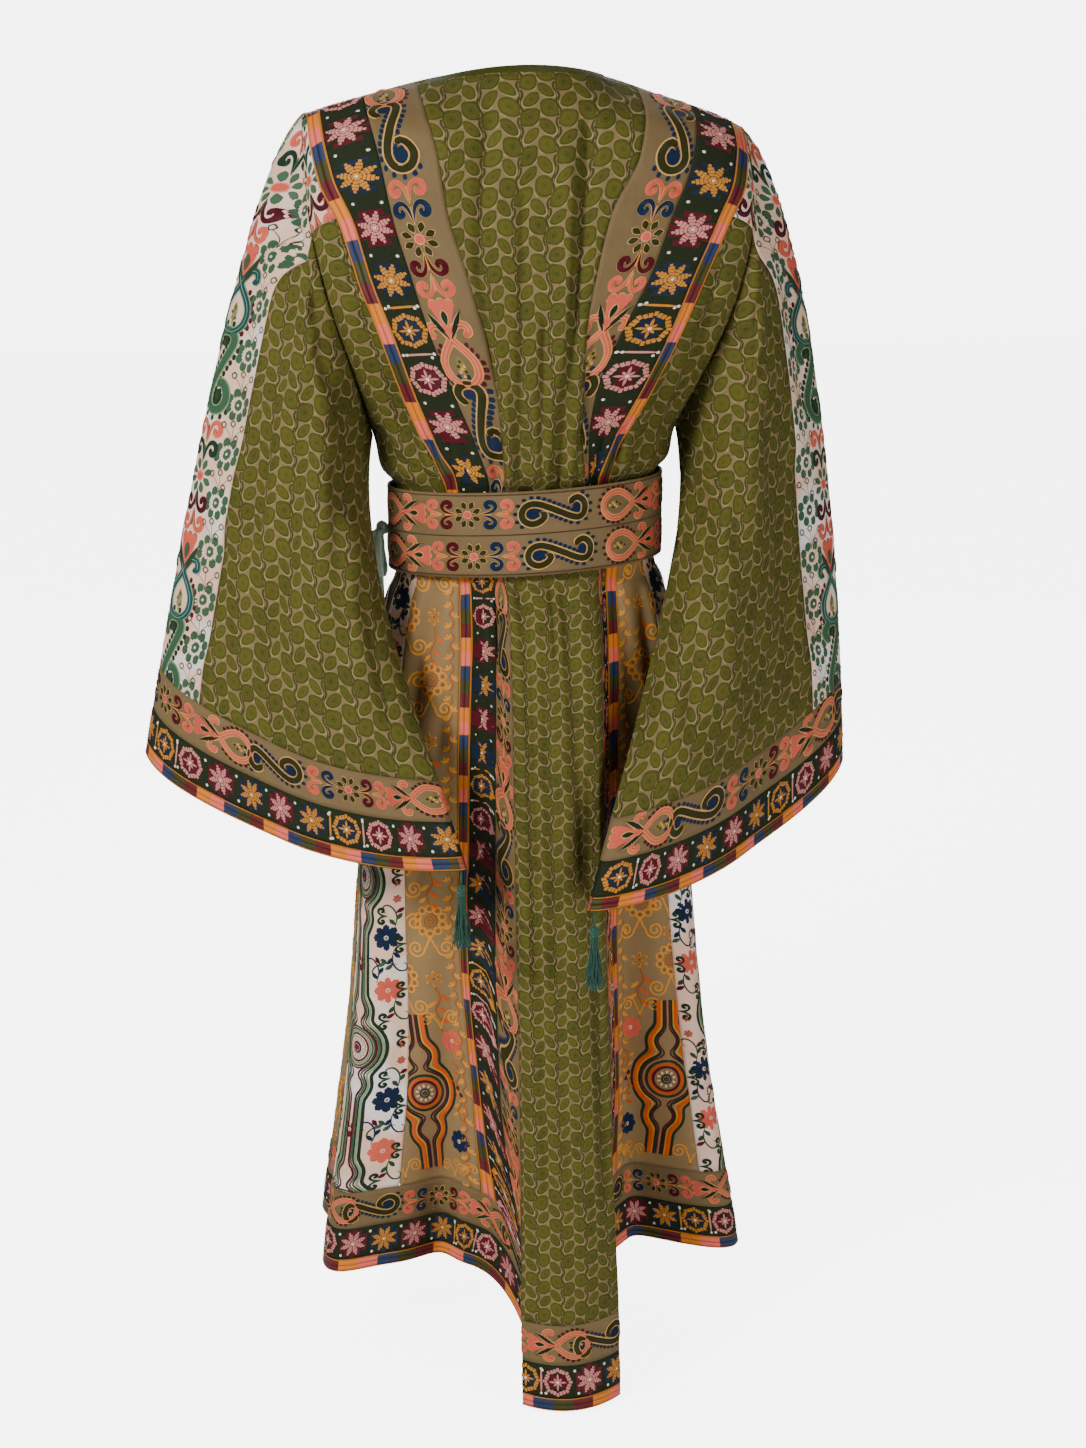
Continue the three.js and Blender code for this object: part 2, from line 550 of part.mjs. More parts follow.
bodyPanel("front_skirt", "goldCloth", {
  from: (row) => sideSeam("flowerEnd", 1, row),
  to: (row) => 2 * Math.PI + sideSeam("flowerEnd", -1, row),
  rows: LOWER_ROWS,
  columns: 24,
  toHem: true,
});

// ---------------------------------------------------------------- the hem's border, in a back and a front half
// Its columns are those of the panels above it, so that the two edges match fold for fold.
function hemRibbon(name, paint, high, low, start, end) {
  const angles = hemAngles.filter((a) => a > start && a < end).sort((a, b) => a - b);
  const rows = [high, low].map((distance) => angles.map((a) => [a, rowAboveHem(a, distance)]));
  const points = rows.map((line) => line.map(([a, row]) => body(a, row)));
  const outward = rows.map((line) => line.map(([a, row]) => bodyNormal(a, row)));
  addPiece(name, paint, clothWall(points, outward, CLOTH));
}

const HEM_RIBBONS = [
  { kind: "scroll", paint: "scrollRibbon", high: BORDER, low: BORDER - RIBBON.scroll + SEAM },
  { kind: "star", paint: "starRibbon", high: BORDER - RIBBON.scroll, low: RIBBON.stripe + SEAM },
  { kind: "stripe", paint: "stripeRibbon", high: RIBBON.stripe, low: 0 },
];
const borderRow = rowAboveHem(Math.PI / 2, BORDER);
const [backStart, backEnd] = [-1, 1].map((side) => sideSeam("flowerEnd", side, borderRow));
for (const { kind, paint, high, low } of HEM_RIBBONS) {
  hemRibbon(`hem_${kind}_back`, paint, high, low, backStart, backEnd);
  hemRibbon(`hem_${kind}_front`, paint, high, low, backEnd, backStart + 2 * Math.PI);
}

// ---------------------------------------------------------------- sleeves
// A point of the armhole seam. girth runs from 0 at the armpit up the back, 0.5 at the shoulder, down the
// front. Between the rows of the bodice's panels the seam is straight, as their edges are.
function armhole(side, girth) {
  const turn = ((girth % 1) + 1) % 1;
  const onBack = turn <= 0.5;
  const row = ARMPIT_ROW * (1 - 2 * (onBack ? turn : 1 - turn));
  const next = Math.max(1, BODICE_ROWS.findIndex((r) => r >= row - 1e-9));
  const [above, below] = [BODICE_ROWS[next - 1], BODICE_ROWS[next]];
  const angle = (side * Math.PI) / 2 - side * SEAM_ANGLE;
  const share = (row - above) / (below - above);
  const point = body(angle, above, onBack).lerp(body(angle, below, onBack), share);
  point.x += side * SEAM;
  return point;
}

const outwardFrom = (side, [x, y, z]) => new THREE.Vector3(side * x, y, z);

function weightsAt(girth) {
  const turn = 2 * Math.PI * girth;
  const c = Math.cos(turn);
  const s = Math.sin(turn);
  return { under: c > 0 ? c * c : 0, top: c < 0 ? c * c : 0, back: s > 0 ? s * s : 0, front: s < 0 ? s * s : 0 };
}

function handle(sleeve, which, girth) {
  const weights = weightsAt(girth);
  const sum = new THREE.Vector3();
  for (const line of ["under", "back", "top", "front"])
    sum.addScaledVector(outwardFrom(sleeve.side, sleeve[which][line]), weights[line]);
  return sum;
}

function cuffEdge(sleeve, girth) {
  const inner = outwardFrom(sleeve.side, sleeve.innerCorner);
  const outer = outwardFrom(sleeve.side, sleeve.outerCorner);
  const turn = 2 * Math.PI * girth;
  const across = -Math.cos(turn);
  const p = inner.clone().lerp(outer, (1 + across) / 2);
  const flat = outer.clone().sub(inner).setZ(0).normalize();
  const back = new THREE.Vector3(sleeve.side * flat.y, -sleeve.side * flat.x, 0);
  if (back.y > 0) back.negate();
  p.addScaledVector(back, sleeve.cuffHalf * Math.sin(turn));
  p.z -= sleeve.cuffSag * (1 - across * across);
  return p;
}

// A point of the sleeve. along runs from 0 at the armhole to 1 at the cuff's edge.
function sleevePoint(sleeve, girth, along) {
  const a = armhole(sleeve.side, girth);
  const d = cuffEdge(sleeve, girth);
  const b = a.clone().add(handle(sleeve, "leave", girth));
  const c = d.clone().add(handle(sleeve, "arrive", girth));
  const curve = new THREE.CubicBezierCurve3(a, b, c, d);
  const p = curve.getPoint(Math.min(1, Math.max(0, along)));
  const middle = sleeveMiddle(sleeve, along);
  const outward = p.clone().sub(middle).setZ(0).normalize();
  const { count, reach, start, turn } = SLEEVE_FLUTES;
  const swell = reach * smooth((along - start) / (1 - start));
  return p.addScaledVector(outward, swell * Math.cos(2 * Math.PI * count * girth + turn));
}

function sleeveMiddle(sleeve, along) {
  const root = outwardFrom(sleeve.side, SLEEVE_ROOT);
  const inner = outwardFrom(sleeve.side, sleeve.innerCorner);
  const outer = outwardFrom(sleeve.side, sleeve.outerCorner);
  return root.lerp(inner.lerp(outer, 0.5), along);
}

// The share of the length at which a grain line is a distance above the cuff's edge.
function alongAboveCuff(sleeve, girth, distance) {
  return 1 - distance / (3 * handle(sleeve, "arrive", girth).length());
}

function sleeveNormal(sleeve, girth, along) {
  const surface = (g, t) => sleevePoint(sleeve, g, t);
  const at = THREE.MathUtils.clamp(along, 0.01, 0.99);
  const normal = outwardAt(surface, girth, at, STEP, 2 * STEP).multiplyScalar(sleeve.side);
  // at the armhole the wall doesn't lean in over the bodice's edge
  if (along === 0 && sleeve.side * normal.x > 0) normal.setX(0).normalize();
  return normal;
}

// A grain line's place in the girth. The back seam leaves the armhole low and swings up towards the top.
function drifted(girth, along) {
  if (girth < 0 || girth > 0.5) return girth;
  const share = girth < SLEEVE_SEAM.back ? girth / SLEEVE_SEAM.back : (0.5 - girth) / (0.5 - SLEEVE_SEAM.back);
  return girth + SEAM_DRIFT.most * share * smooth(along / SEAM_DRIFT.by);
}

// The columns of a sleeve: one at each row of the bodice's armhole edge, and one between wide rows.
function girthsBetween(from, to) {
  const rows = [...BODICE_ROWS.filter((row) => row <= ARMPIT_ROW), 2.5, 3.5, 4.5, 5.5];
  const up = rows.map((row) => (1 - row / ARMPIT_ROW) / 2);
  const round = [...up, ...up.map((girth) => -girth), ...up.map((girth) => 1 - girth)];
  const inner = [...new Set(round)].filter((girth) => girth > from && girth < to);
  return [from, ...inner.sort((a, b) => a - b), to];
}

function sleevePanel(name, paint, sleeve, girths) {
  const columns = girths.length - 1;
  const points = [];
  const outward = [];
  for (const share of [0, 0.07, 0.16, 0.27, 0.4, 0.54, 0.68, 0.84, 1]) {
    const line = [];
    const normals = [];
    for (let j = 0; j <= columns; j++) {
      const inset = SEAM_GIRTH * (1 - (2 * j) / columns);
      const along = share * alongAboveCuff(sleeve, drifted(girths[j], 1) + inset, BORDER + SEAM);
      const girth = drifted(girths[j], along) + inset;
      line.push(sleevePoint(sleeve, girth, along));
      normals.push(sleeveNormal(sleeve, girth, along));
    }
    // the columns run left to right as seen from outside, so the left sleeve's are turned round
    points.push(sleeve.side < 0 ? line.reverse() : line);
    outward.push(sleeve.side < 0 ? normals.reverse() : normals);
  }
  addPiece(name, paint, clothWall(points, outward, CLOTH));
}

function cuffRibbon(name, paint, sleeve, high, low, panelGirths) {
  const drift = panelGirths.map((girth) => drifted(girth, 1));
  const girths = sleeve.side < 0 ? drift.reverse() : drift;
  const points = [];
  const outward = [];
  for (const distance of [high, low]) {
    points.push(girths.map((g) => sleevePoint(sleeve, g, alongAboveCuff(sleeve, g, distance))));
    outward.push(girths.map((g) => sleeveNormal(sleeve, g, alongAboveCuff(sleeve, g, distance))));
  }
  addPiece(name, paint, clothWall(points, outward, CLOTH, true));
}

for (const [sideName, sleeve] of Object.entries(SLEEVES)) {
  const top = girthsBetween(SLEEVE_SEAM.back, SLEEVE_SEAM.front);
  const under = girthsBetween(SLEEVE_SEAM.front - 1, SLEEVE_SEAM.back);
  sleevePanel(`sleeve_top_${sideName}`, "flowerCloth", sleeve, top);
  sleevePanel(`sleeve_under_${sideName}`, "leafCloth", sleeve, under);
  const round = [...under.slice(0, -1), ...top.slice(0, -1)];
  for (const { kind, paint, high, low } of HEM_RIBBONS)
    cuffRibbon(`cuff_${kind}_${sideName}`, paint, sleeve, high, low, round);
}

// ---------------------------------------------------------------- belt
function beltPoint(angle, share) {
  const depth = Math.cos(angle) > 0 ? BELT.back : BELT.front;
  const x = BELT.half * Math.sin(angle);
  const z = BELT.middle + BELT.height * (0.5 - share) + WAIST_TILT.rise * x;
  return new THREE.Vector3(x, -depth * Math.cos(angle), z);
}

function belt() {
  const angles = Array.from({ length: BELT.columns }, (_, j) => (2 * Math.PI * j) / BELT.columns);
  const shares = [0, 1];
  const points = shares.map((share) => angles.map((a) => beltPoint(a, share)));
  const outward = shares.map((share) => angles.map((a) => outwardAt(beltPoint, a, share, STEP, STEP)));
  const outer = points.map((line, i) => line.map((p, j) => p.addScaledVector(outward[i][j], BELT.wall)));
  addPiece("belt", "scrollRibbon", clothWall(outer, outward, BELT.wall, true));
}
belt();

// ---------------------------------------------------------------- joining small solids
function solidOf(geometry) {
  for (const name of ["normal", "uv"]) geometry.deleteAttribute(name);
  const merged = mergeVertices(geometry.index ? geometry.toNonIndexed() : geometry, 1e-4);
  return new wasm.Manifold(
    new wasm.Mesh({
      numProp: 3,
      vertProperties: merged.attributes.position.array,
      triVerts: new Uint32Array(merged.index.array),
    }),
  );
}

function geometryOf(solid) {
  const made = solid.getMesh();
  const geometry = new THREE.BufferGeometry();
  geometry.setAttribute("position", new THREE.Float32BufferAttribute(made.vertProperties, 3));
  geometry.setIndex([...made.triVerts]);
  geometry.computeVertexNormals();
  return geometry;
}

// ---------------------------------------------------------------- the belt's satin tie, at the left hip
// A ribbon that keeps its width direction while it runs along a path in the plane across that direction.
// It is gathered where it leaves the knot, and where it comes back to it.
function tieRibbon(path, { width, comesBack, count }) {
  const forward = new THREE.Vector3(...TIE.forward).normalize();
  const across = new THREE.Vector3(forward.y, -forward.x, 0);
  const knot = new THREE.Vector3(...TIE.knot);
  const places = path.map(([out, down]) => knot.clone().addScaledVector(forward, out).setZ(knot.z - down));
  const curve = new THREE.CatmullRomCurve3(places);
  const points = [];
  const outward = [];
  for (let i = 0; i <= count; i++) {
    const centre = curve.getPoint(i / count);
    const normal = curve.getTangent(i / count).cross(across).normalize();
    const left = comesBack ? Math.min(i, count - i) : i;
    const half = (width / 2) * lerp(TIE.gathered, 1, smooth(left / count / 0.3));
    points.push([-1, 1].map((k) => centre.clone().addScaledVector(across, k * half)));
    outward.push([normal, normal]);
  }
  return solidOf(clothWall(points, outward, TIE.wall));
}

function beltTie() {
  const knot = new THREE.SphereGeometry(1, 10, 8);
  knot.scale(5.5, 8, 9);
  knot.translate(...TIE.knot);
  const solid = solidOf(knot)
    .add(tieRibbon(TIE.loop, { width: TIE.width, comesBack: true, count: 12 }))
    .add(tieRibbon(TIE.tail, { width: TIE.width * 0.8, comesBack: false, count: 5 }));
  addPiece("belt_tie", "tieSatin", geometryOf(solid));
}
beltTie();

// ---------------------------------------------------------------- tassels at the cuffs' inner corners
// One strand: a three-sided tapered prism that leaves the head's underside and hangs outward in a curve.
function strand(turn, ring, top) {
  const rootRadius = TASSEL.rootRadius * ring;
  const endRadius = TASSEL.endRadius * ring + 1;
  const length = TASSEL.length * (1 - TASSEL.uneven * (1 - Math.cos(5 * turn + 7 * ring)));
  const stations = [0, 0.45, 1].map((t) => ({
    radius: lerp(rootRadius, endRadius, Math.pow(t, 0.7)),
    z: top - length * t,
    size: TASSEL.strand * lerp(1, 0.8, t),
  }));
  const position = [];
  for (const { radius, z, size } of stations)
    for (let k = 0; k < 3; k++) {
      const spin = turn + (k * 2 * Math.PI) / 3;
      position.push(radius * Math.cos(turn) + (size / 2) * Math.cos(spin));
      position.push(radius * Math.sin(turn) + (size / 2) * Math.sin(spin));
      position.push(z);
    }
  const index = [0, 1, 2, 6, 8, 7];
  for (let i = 0; i < 2; i++)
    for (let k = 0; k < 3; k++) {
      const a = i * 3 + k;
      const b = i * 3 + ((k + 1) % 3);
      index.push(a, a + 3, b + 3, a, b + 3, b);
    }
  const geometry = new THREE.BufferGeometry();
  geometry.setAttribute("position", new THREE.Float32BufferAttribute(position, 3));
  geometry.setIndex(index);
  return geometry;
}

function tassel(name, place) {
  const { headRadius: r, headHeight: h, cord, cordRadius } = TASSEL;
  const profile = [
    [0, 0],
    [cordRadius, 0],
    [cordRadius, -cord],
    [r * 0.8, -cord - h * 0.2],
    [r, -cord - h * 0.5],
    [r * 0.7, -cord - h * 0.72],
    [r * 0.95, -cord - h],
    [0, -cord - h],
  ].reverse();
  const head = new THREE.LatheGeometry(profile.map(([x, z]) => new THREE.Vector2(x, z)), 10);
  head.rotateX(Math.PI / 2);
  let solid = solidOf(head);
  const rings = [
    { ring: 1, share: 0.55 },
    { ring: 0.62, share: 0.3 },
    { ring: 0.25, share: 0.15 },
  ];
  for (const { ring, share } of rings) {
    const count = Math.round(TASSEL.strands * share);
    for (let k = 0; k < count; k++) {
      const turn = (2 * Math.PI * (k + 0.5 * ring)) / count;
      solid = solid.add(solidOf(strand(turn, ring, -cord - h + 1.5)));
    }
  }
  addPiece(name, "tasselSilk", geometryOf(solid)).position.copy(place);
}
for (const [sideName, sleeve] of Object.entries(SLEEVES)) {
  const corner = sleevePoint(sleeve, 0.02, 1);
  tassel(`tassel_${sideName}`, corner.add(new THREE.Vector3(0, 0, -SEAM)));
}

export default thobe;
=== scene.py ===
# %% [markdown]
# # A long embroidered thobe, hollow and open as it is when worn
# The CAD frame gives the place and size of every panel. Here each panel becomes thin cloth with its folds,
# and the needlework is laid on it. The camera, the light and the floor come first.

# %% The frame
import math

import bpy
import numpy as np
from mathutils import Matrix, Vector


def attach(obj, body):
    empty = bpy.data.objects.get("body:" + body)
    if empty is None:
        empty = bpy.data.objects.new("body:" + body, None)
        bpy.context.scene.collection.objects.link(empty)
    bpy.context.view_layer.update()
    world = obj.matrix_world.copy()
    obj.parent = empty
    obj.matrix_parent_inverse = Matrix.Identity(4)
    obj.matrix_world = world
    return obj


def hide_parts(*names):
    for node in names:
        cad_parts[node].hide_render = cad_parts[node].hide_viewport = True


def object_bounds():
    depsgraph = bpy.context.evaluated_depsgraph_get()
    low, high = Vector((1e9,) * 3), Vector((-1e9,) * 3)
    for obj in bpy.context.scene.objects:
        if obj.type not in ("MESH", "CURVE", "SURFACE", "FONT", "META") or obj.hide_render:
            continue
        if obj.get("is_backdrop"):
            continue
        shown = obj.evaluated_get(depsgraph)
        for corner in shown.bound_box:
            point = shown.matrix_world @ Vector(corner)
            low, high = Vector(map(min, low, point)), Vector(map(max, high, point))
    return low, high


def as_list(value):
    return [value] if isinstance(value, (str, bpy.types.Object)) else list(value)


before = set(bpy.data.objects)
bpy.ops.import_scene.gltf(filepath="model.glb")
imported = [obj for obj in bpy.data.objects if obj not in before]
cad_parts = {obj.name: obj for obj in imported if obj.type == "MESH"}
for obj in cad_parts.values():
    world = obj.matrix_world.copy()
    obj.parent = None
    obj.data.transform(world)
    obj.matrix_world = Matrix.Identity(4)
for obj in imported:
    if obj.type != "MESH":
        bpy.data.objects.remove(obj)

cad_low, cad_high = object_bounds()
print("CAD box", [round(x, 3) for x in (*cad_low, *cad_high)])

# %% The camera
CAMERA = {"place": (-0.3758, -2.6737, -0.070), "turn": -8.444, "down": 14.1, "lens": 57.8}
camera_data = bpy.data.cameras.new("camera")
camera_data.lens = CAMERA["lens"]
camera_data.sensor_width = 36
camera = bpy.data.objects.new("camera", camera_data)
camera.location = CAMERA["place"]
camera.rotation_euler = (math.radians(90 - CAMERA["down"]), 0, math.radians(CAMERA["turn"]))
bpy.context.scene.collection.objects.link(camera)
bpy.context.scene.camera = camera
print("camera", CAMERA["lens"], "mm lens")

# %% [markdown]
# Soft studio light: one broad key above the camera's left, a weaker fill at its right, one behind for the
# far side, and a pale world. Broad lamps keep the shadows inside the folds soft.

# %% Light and floor
def soft_lamp(name, place, aim, size, watts):
    """A square area lamp that looks from its place at a point."""
    data = bpy.data.lights.new(name, "AREA")
    data.energy = watts
    data.size = size
    lamp = bpy.data.objects.new(name, data)
    lamp.location = place
    lamp.rotation_euler = (Vector(aim) - Vector(place)).to_track_quat("-Z", "Y").to_euler()
    bpy.context.scene.collection.objects.link(lamp)


MIDDLE = (0, 0, -0.7)
soft_lamp("key_lamp", (-2.4, -2.1, 1.3), MIDDLE, 1.0, 146)
soft_lamp("fill_lamp", (2.2, -2.8, -0.5), MIDDLE, 1.6, 54)
soft_lamp("back_lamp", (0.6, 3.2, 1.2), MIDDLE, 2.4, 60)

world = bpy.data.worlds.new("pale_world")
bpy.context.scene.world = world
world.use_nodes = True
backdrop = world.node_tree.nodes["Background"]
backdrop.inputs["Color"].default_value = (1, 1, 1, 1)
seen = world.node_tree.nodes.new("ShaderNodeLightPath")
strength = world.node_tree.nodes.new("ShaderNodeMapRange")
strength.inputs["To Min"].default_value = 0.12  # what lights the cloth
strength.inputs["To Max"].default_value = 6.0  # what shows behind it
world.node_tree.links.new(seen.outputs["Is Camera Ray"], strength.inputs["Value"])
world.node_tree.links.new(strength.outputs["Result"], backdrop.inputs["Strength"])

FLOOR_Z = -1.494
FLOOR_HALF = 14
corners = [(-1, -1), (1, -1), (1, 1), (-1, 1)]
floor_mesh = bpy.data.meshes.new("floor")
floor_mesh.from_pydata([(x * FLOOR_HALF, y * FLOOR_HALF, FLOOR_Z) for x, y in corners], [], [(0, 1, 2, 3)])
floor = bpy.data.objects.new("floor", floor_mesh)
bpy.context.scene.collection.objects.link(floor)
floor_paint = bpy.data.materials.new("pale_floor")
floor_paint.use_nodes = True
floor_shader = floor_paint.node_tree.nodes["Principled BSDF"]
floor_shader.inputs["Base Color"].default_value = (0.92, 0.92, 0.92, 1)
floor_shader.inputs["Roughness"].default_value = 0.8
floor_shader.inputs["Emission Strength"].default_value = 5.7
floor_seen = floor_paint.node_tree.nodes.new("ShaderNodeLightPath")  # it glows for the camera alone
floor_paint.node_tree.links.new(floor_seen.outputs["Is Camera Ray"], floor_shader.inputs["Emission Color"])
floor_mesh.materials.append(floor_paint)
floor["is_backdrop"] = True
print("floor at", FLOOR_Z)

# %% [markdown]
# ## The numbers of the garment
# These are the CAD's own driving numbers, in millimetres: the rings of the bodice and skirt, the box pleat
# that becomes the train, the folds, the seams and the sleeves. Cloth that is worked out from the same
# numbers lies exactly on the solids that it stands for.

# %% Driving numbers
CLOTH = 1.6
SEAM = 0.4
NECK_HALF = 90
NECK_BACK = {"depth": 65, "rise": 10, "power": 2}
NECK_FRONT = {"depth": 72, "rise": -75, "power": 0.8}
SHOULDER = {"half": 249, "left": 42, "right": 58}
RIDGE_GAP = 0.65
OVER_SHOULDER = {"share": 0.42, "lift": 4, "lean": 10}
WAIST_Z = -500
BELT_TOP = -452
HEM_Z = -1385
TRAIN_DROP = 103
WAIST_TILT = {"rise": 0.045, "reach": 120}
RIBBON = {"scroll": 48, "star": 40, "stripe": 16}
BORDER = sum(RIBBON.values())
WAIST_ROW, HEM_ROW, ARMPIT_ROW, CAP_END = 9, 10, 6, 3


def table(columns, *rows):
    """Rows of numbers as one array for each named column."""
    return dict(zip(columns.split(), np.array(rows, float).T))


BODICE_RINGS = table(
    "back_z edge_z front_z half back back_arm front_arm front",
    (-48, -104, -122, 250, 104, 52, 48, 100),
    (-130, -170, -178, 245, 124, 84, 72, 119),
    (-230, -250, -255, 226, 131, 84, 72, 128),
    (-320, -330, -330, 198, 128, 52, 45, 122),
    (-395, -395, -395, 176, 126, 0, 0, 116),
    (-430, -430, -430, 168, 123, 0, 0, 113),
    (-453, -453, -453, 151, 112, 0, 0, 102),
    (-500, -500, -500, 150, 110, 0, 0, 100),
)
SKIRT_RINGS = table(
    "z half back front shift",
    (-500, 150, 110, 100, 0),
    (-547, 151, 112, 101, 0),
    (-580, 163, 120, 110, 0),
    (-660, 181, 129, 120, -2),
    (-930, 201, 133, 128, -7),
    (-1110, 213, 136, 135, -9),
    (-1240, 228, 139, 143, -10),
    (-1390, 248, 142, 152, -10),
    (-1500, 258, 144, 158, -10),
)
TRAIN_PLEAT = table(
    "z reach left_edge left_flank right_edge right_flank tuck",
    (-120, 0, -50, 34, 48, 30, 0),
    (-250, 5, -50, 26, 45, 15, 0),
    (-360, 10, -42, 20, 42, 12, 0),
    (-430, 12, -34, 18, 44, 11, 0),
    (-455, 3, -30, 20, 46, 14, 0),
    (-547, 4, -27, 22, 62, 16, 0),
    (-590, 20, -25, 28, 62, 16, 0),
    (-700, 38, -24, 36, 62, 18, 0),
    (-900, 62, -22, 50, 61, 24, 0),
    (-1150, 104, -28, 60, 66, 36, 6),
    (-1290, 130, -38, 58, 68, 42, 24),
    (-1385, 146, -43, 48, 70, 46, 38),
    (-1500, 160, -44, 48, 70, 46, 42),
)
TRAIN_CROWN = 0.1
BODICE_FOLDS = table("x start spread reach", (-13, -330, 8, -4), (17, -190, 9, -4.5))
SKIRT_FOLDS = table(
    "angle spread reach",
    (-29, 8, -34),
    (-60, 13, 36),
    (-91, 11, -20),
    (-121, 14, 26),
    (-149, 11, -20),
    (180, 15, 24),
    (149, 11, -22),
    (120, 14, 28),
    (91, 11, -18),
    (62, 13, 50),
    (36, 9, -36),
)
CORNER_DIP = {"deep": 12, "angle": 62, "spread": 14}
FOLD_START_Z = -560
GATHERS = {"count": 20, "reach": 2.4, "start": -549, "fade": 130, "ease": 30}
SKIRT_SLOPE = 1.045
BACK_SEAMS = table(
    "z leaf_left scroll_left star_left stripe_left leaf_right scroll_right star_right stripe_right",
    (-10, 122, 182, 230, 245, 124, 183, 231, 246),
    (-80, 110, 171, 221, 237, 112, 172, 222, 238),
    (-142, 101, 160, 200, 216, 80, 148, 199, 214),
    (-210, 81, 141, 182, 199, 62, 123, 171, 187),
    (-280, 62, 119, 157, 174, 50, 88, 144, 159),
    (-350, 52, 91, 132, 148, 48, 61, 111, 126),
    (-400, 46, 70, 111, 126, 49, 55, 84, 99),
    (-450, 39, 55, 88, 102, 52, 57, 68, 84),
    (-550, 37, 51, 77, 91, 69, 74, 79, 96),
    (-800, 36, 54, 84, 98, 69, 75, 81, 97),
    (-1000, 37, 58, 88, 100, 70, 77, 86, 100),
    (-1250, 45, 63, 78, 86, 76, 89, 103, 111),
    (-1500, 52, 67, 82, 90, 78, 94, 108, 115),
)
SIDE_SEAMS = table(
    "z gold_left flower_left gold_right flower_right",
    (-500, 63, 92, 60, 90),
    (-650, 56, 84, 56, 86),
    (-930, 47, 80, 53, 84),
    (-1200, 42, 92, 54, 96),
    (-1500, 43, 104, 54, 106),
)
SLEEVES = {
    "left": {
        "side": -1,
        "inner": (102, -228, -854),
        "outer": (452, 2, -763),
        "cuff_half": 36,
        "cuff_sag": 30,
        "leave": [(26, -34, -120), (24, -34, -150), (62, 0, -52), (24, 30, -150)],
        "arrive": [(52, 62, 180), (-4, 22, 240), (-58, 0, 290), (-4, 10, 240)],
    },
    "right": {
        "side": 1,
        "inner": (38, -252, -901),
        "outer": (392, -2, -796),
        "cuff_half": 36,
        "cuff_sag": 26,
        "leave": [(22, -34, -120), (22, -34, -150), (72, 0, -48), (22, 30, -150)],
        "arrive": [(62, 66, 180), (2, 24, 240), (-12, 0, 300), (2, 10, 240)],
    },
}
SLEEVE_SEAM = {"back": 0.25, "front": 0.65}
SEAM_DRIFT = {"most": 0.1, "by": 0.3}
SLEEVE_FLUTES = {"count": 5, "reach": 4, "start": 0.35, "turn": 0.6}
SLEEVE_ROOT = (215, 0, -230)
BELT = {"half": 158.5, "back": 122, "front": 108, "height": 96, "middle": -497, "wall": 2.4}
print("tables", len(BACK_SEAMS["z"]), "seam rows,", len(TRAIN_PLEAT["z"]), "pleat rows")

# %% [markdown]
# ## Curves through a table
# A seam or a width is known at a few heights. Between them it eases along a cubic whose slope at each row
# is the harmonic mean of the slopes at both sides, and flat where they disagree, so it never overshoots.

# %% Reading a table
def read(rows, name, z):
    """Monotone cubic through a column, at the heights z, which fall from row to row."""
    heights, values = rows["z"], rows[name]
    drops = heights[:-1] - heights[1:]
    slopes = np.concatenate([[0], (values[1:] - values[:-1]) / drops, [0]])
    before, after = slopes[:-1], slopes[1:]
    same_way = before * after > 0
    sums = np.where(same_way, before + after, 1)
    tangent = np.where(same_way, 2 * before * after / sums, 0)
    z = np.clip(z, heights[-1], heights[0])
    k = np.clip(np.searchsorted(-heights, -np.asarray(z, float), side="left"), 1, len(heights) - 1)
    drop = heights[k - 1] - heights[k]
    t = (heights[k - 1] - z) / drop
    start, end = values[k - 1], values[k]
    lead, trail = tangent[k - 1] * drop, tangent[k] * drop
    t2, t3 = t * t, t * t * t
    first = (2 * t3 - 3 * t2 + 1) * start + (t3 - 2 * t2 + t) * lead
    return first + (3 * t2 - 2 * t3) * end + (t3 - t2) * trail


def smooth(x):
    """Smoothstep from 0 to 1."""
    x = np.clip(x, 0, 1)
    return x * x * (3 - 2 * x)


def mix(a, b, share):
    return a + (b - a) * share


def xyz(x, y, z):
    """Three arrays as one array of points."""
    return np.stack(np.broadcast_arrays(x, y, z), axis=-1).astype(float)


print("the train's reach at the hem", round(float(read(TRAIN_PLEAT, "reach", HEM_Z)), 1), "mm")

# %% [markdown]
# ## The body as one surface
# Every point of the bodice and skirt has an angle, from the centre back, and a row, from 0 on the shoulder
# line through 9 at the waist to 10 at the hem. Rings of ovals carry a Catmull-Rom curve from row to row.
# On the back the box pleat pushes the middle outward; below the belt soft folds are added round the hem.

# %% The shoulder line and the bodice's rows
def shoulder_line(angle, back):
    """The neck's arch within NECK_HALF, and beyond it a line that drops towards the sleeve."""
    x = SHOULDER["half"] * np.sin(angle)
    neck = NECK_BACK if back else NECK_FRONT
    way = -1 if back else 1
    share = np.abs(x) / NECK_HALF
    arch = np.sqrt(np.clip(1 - share * share, 0, 1))
    out = np.clip((np.abs(x) - NECK_HALF) / (SHOULDER["half"] - NECK_HALF), 0, 1)
    drop = np.where(x < 0, SHOULDER["left"], SHOULDER["right"])
    in_neck = share < 1
    z = np.where(in_neck, neck["rise"] * arch ** neck["power"], -drop * out**1.15)
    return xyz(x, way * (neck["depth"] * arch + RIDGE_GAP), z)


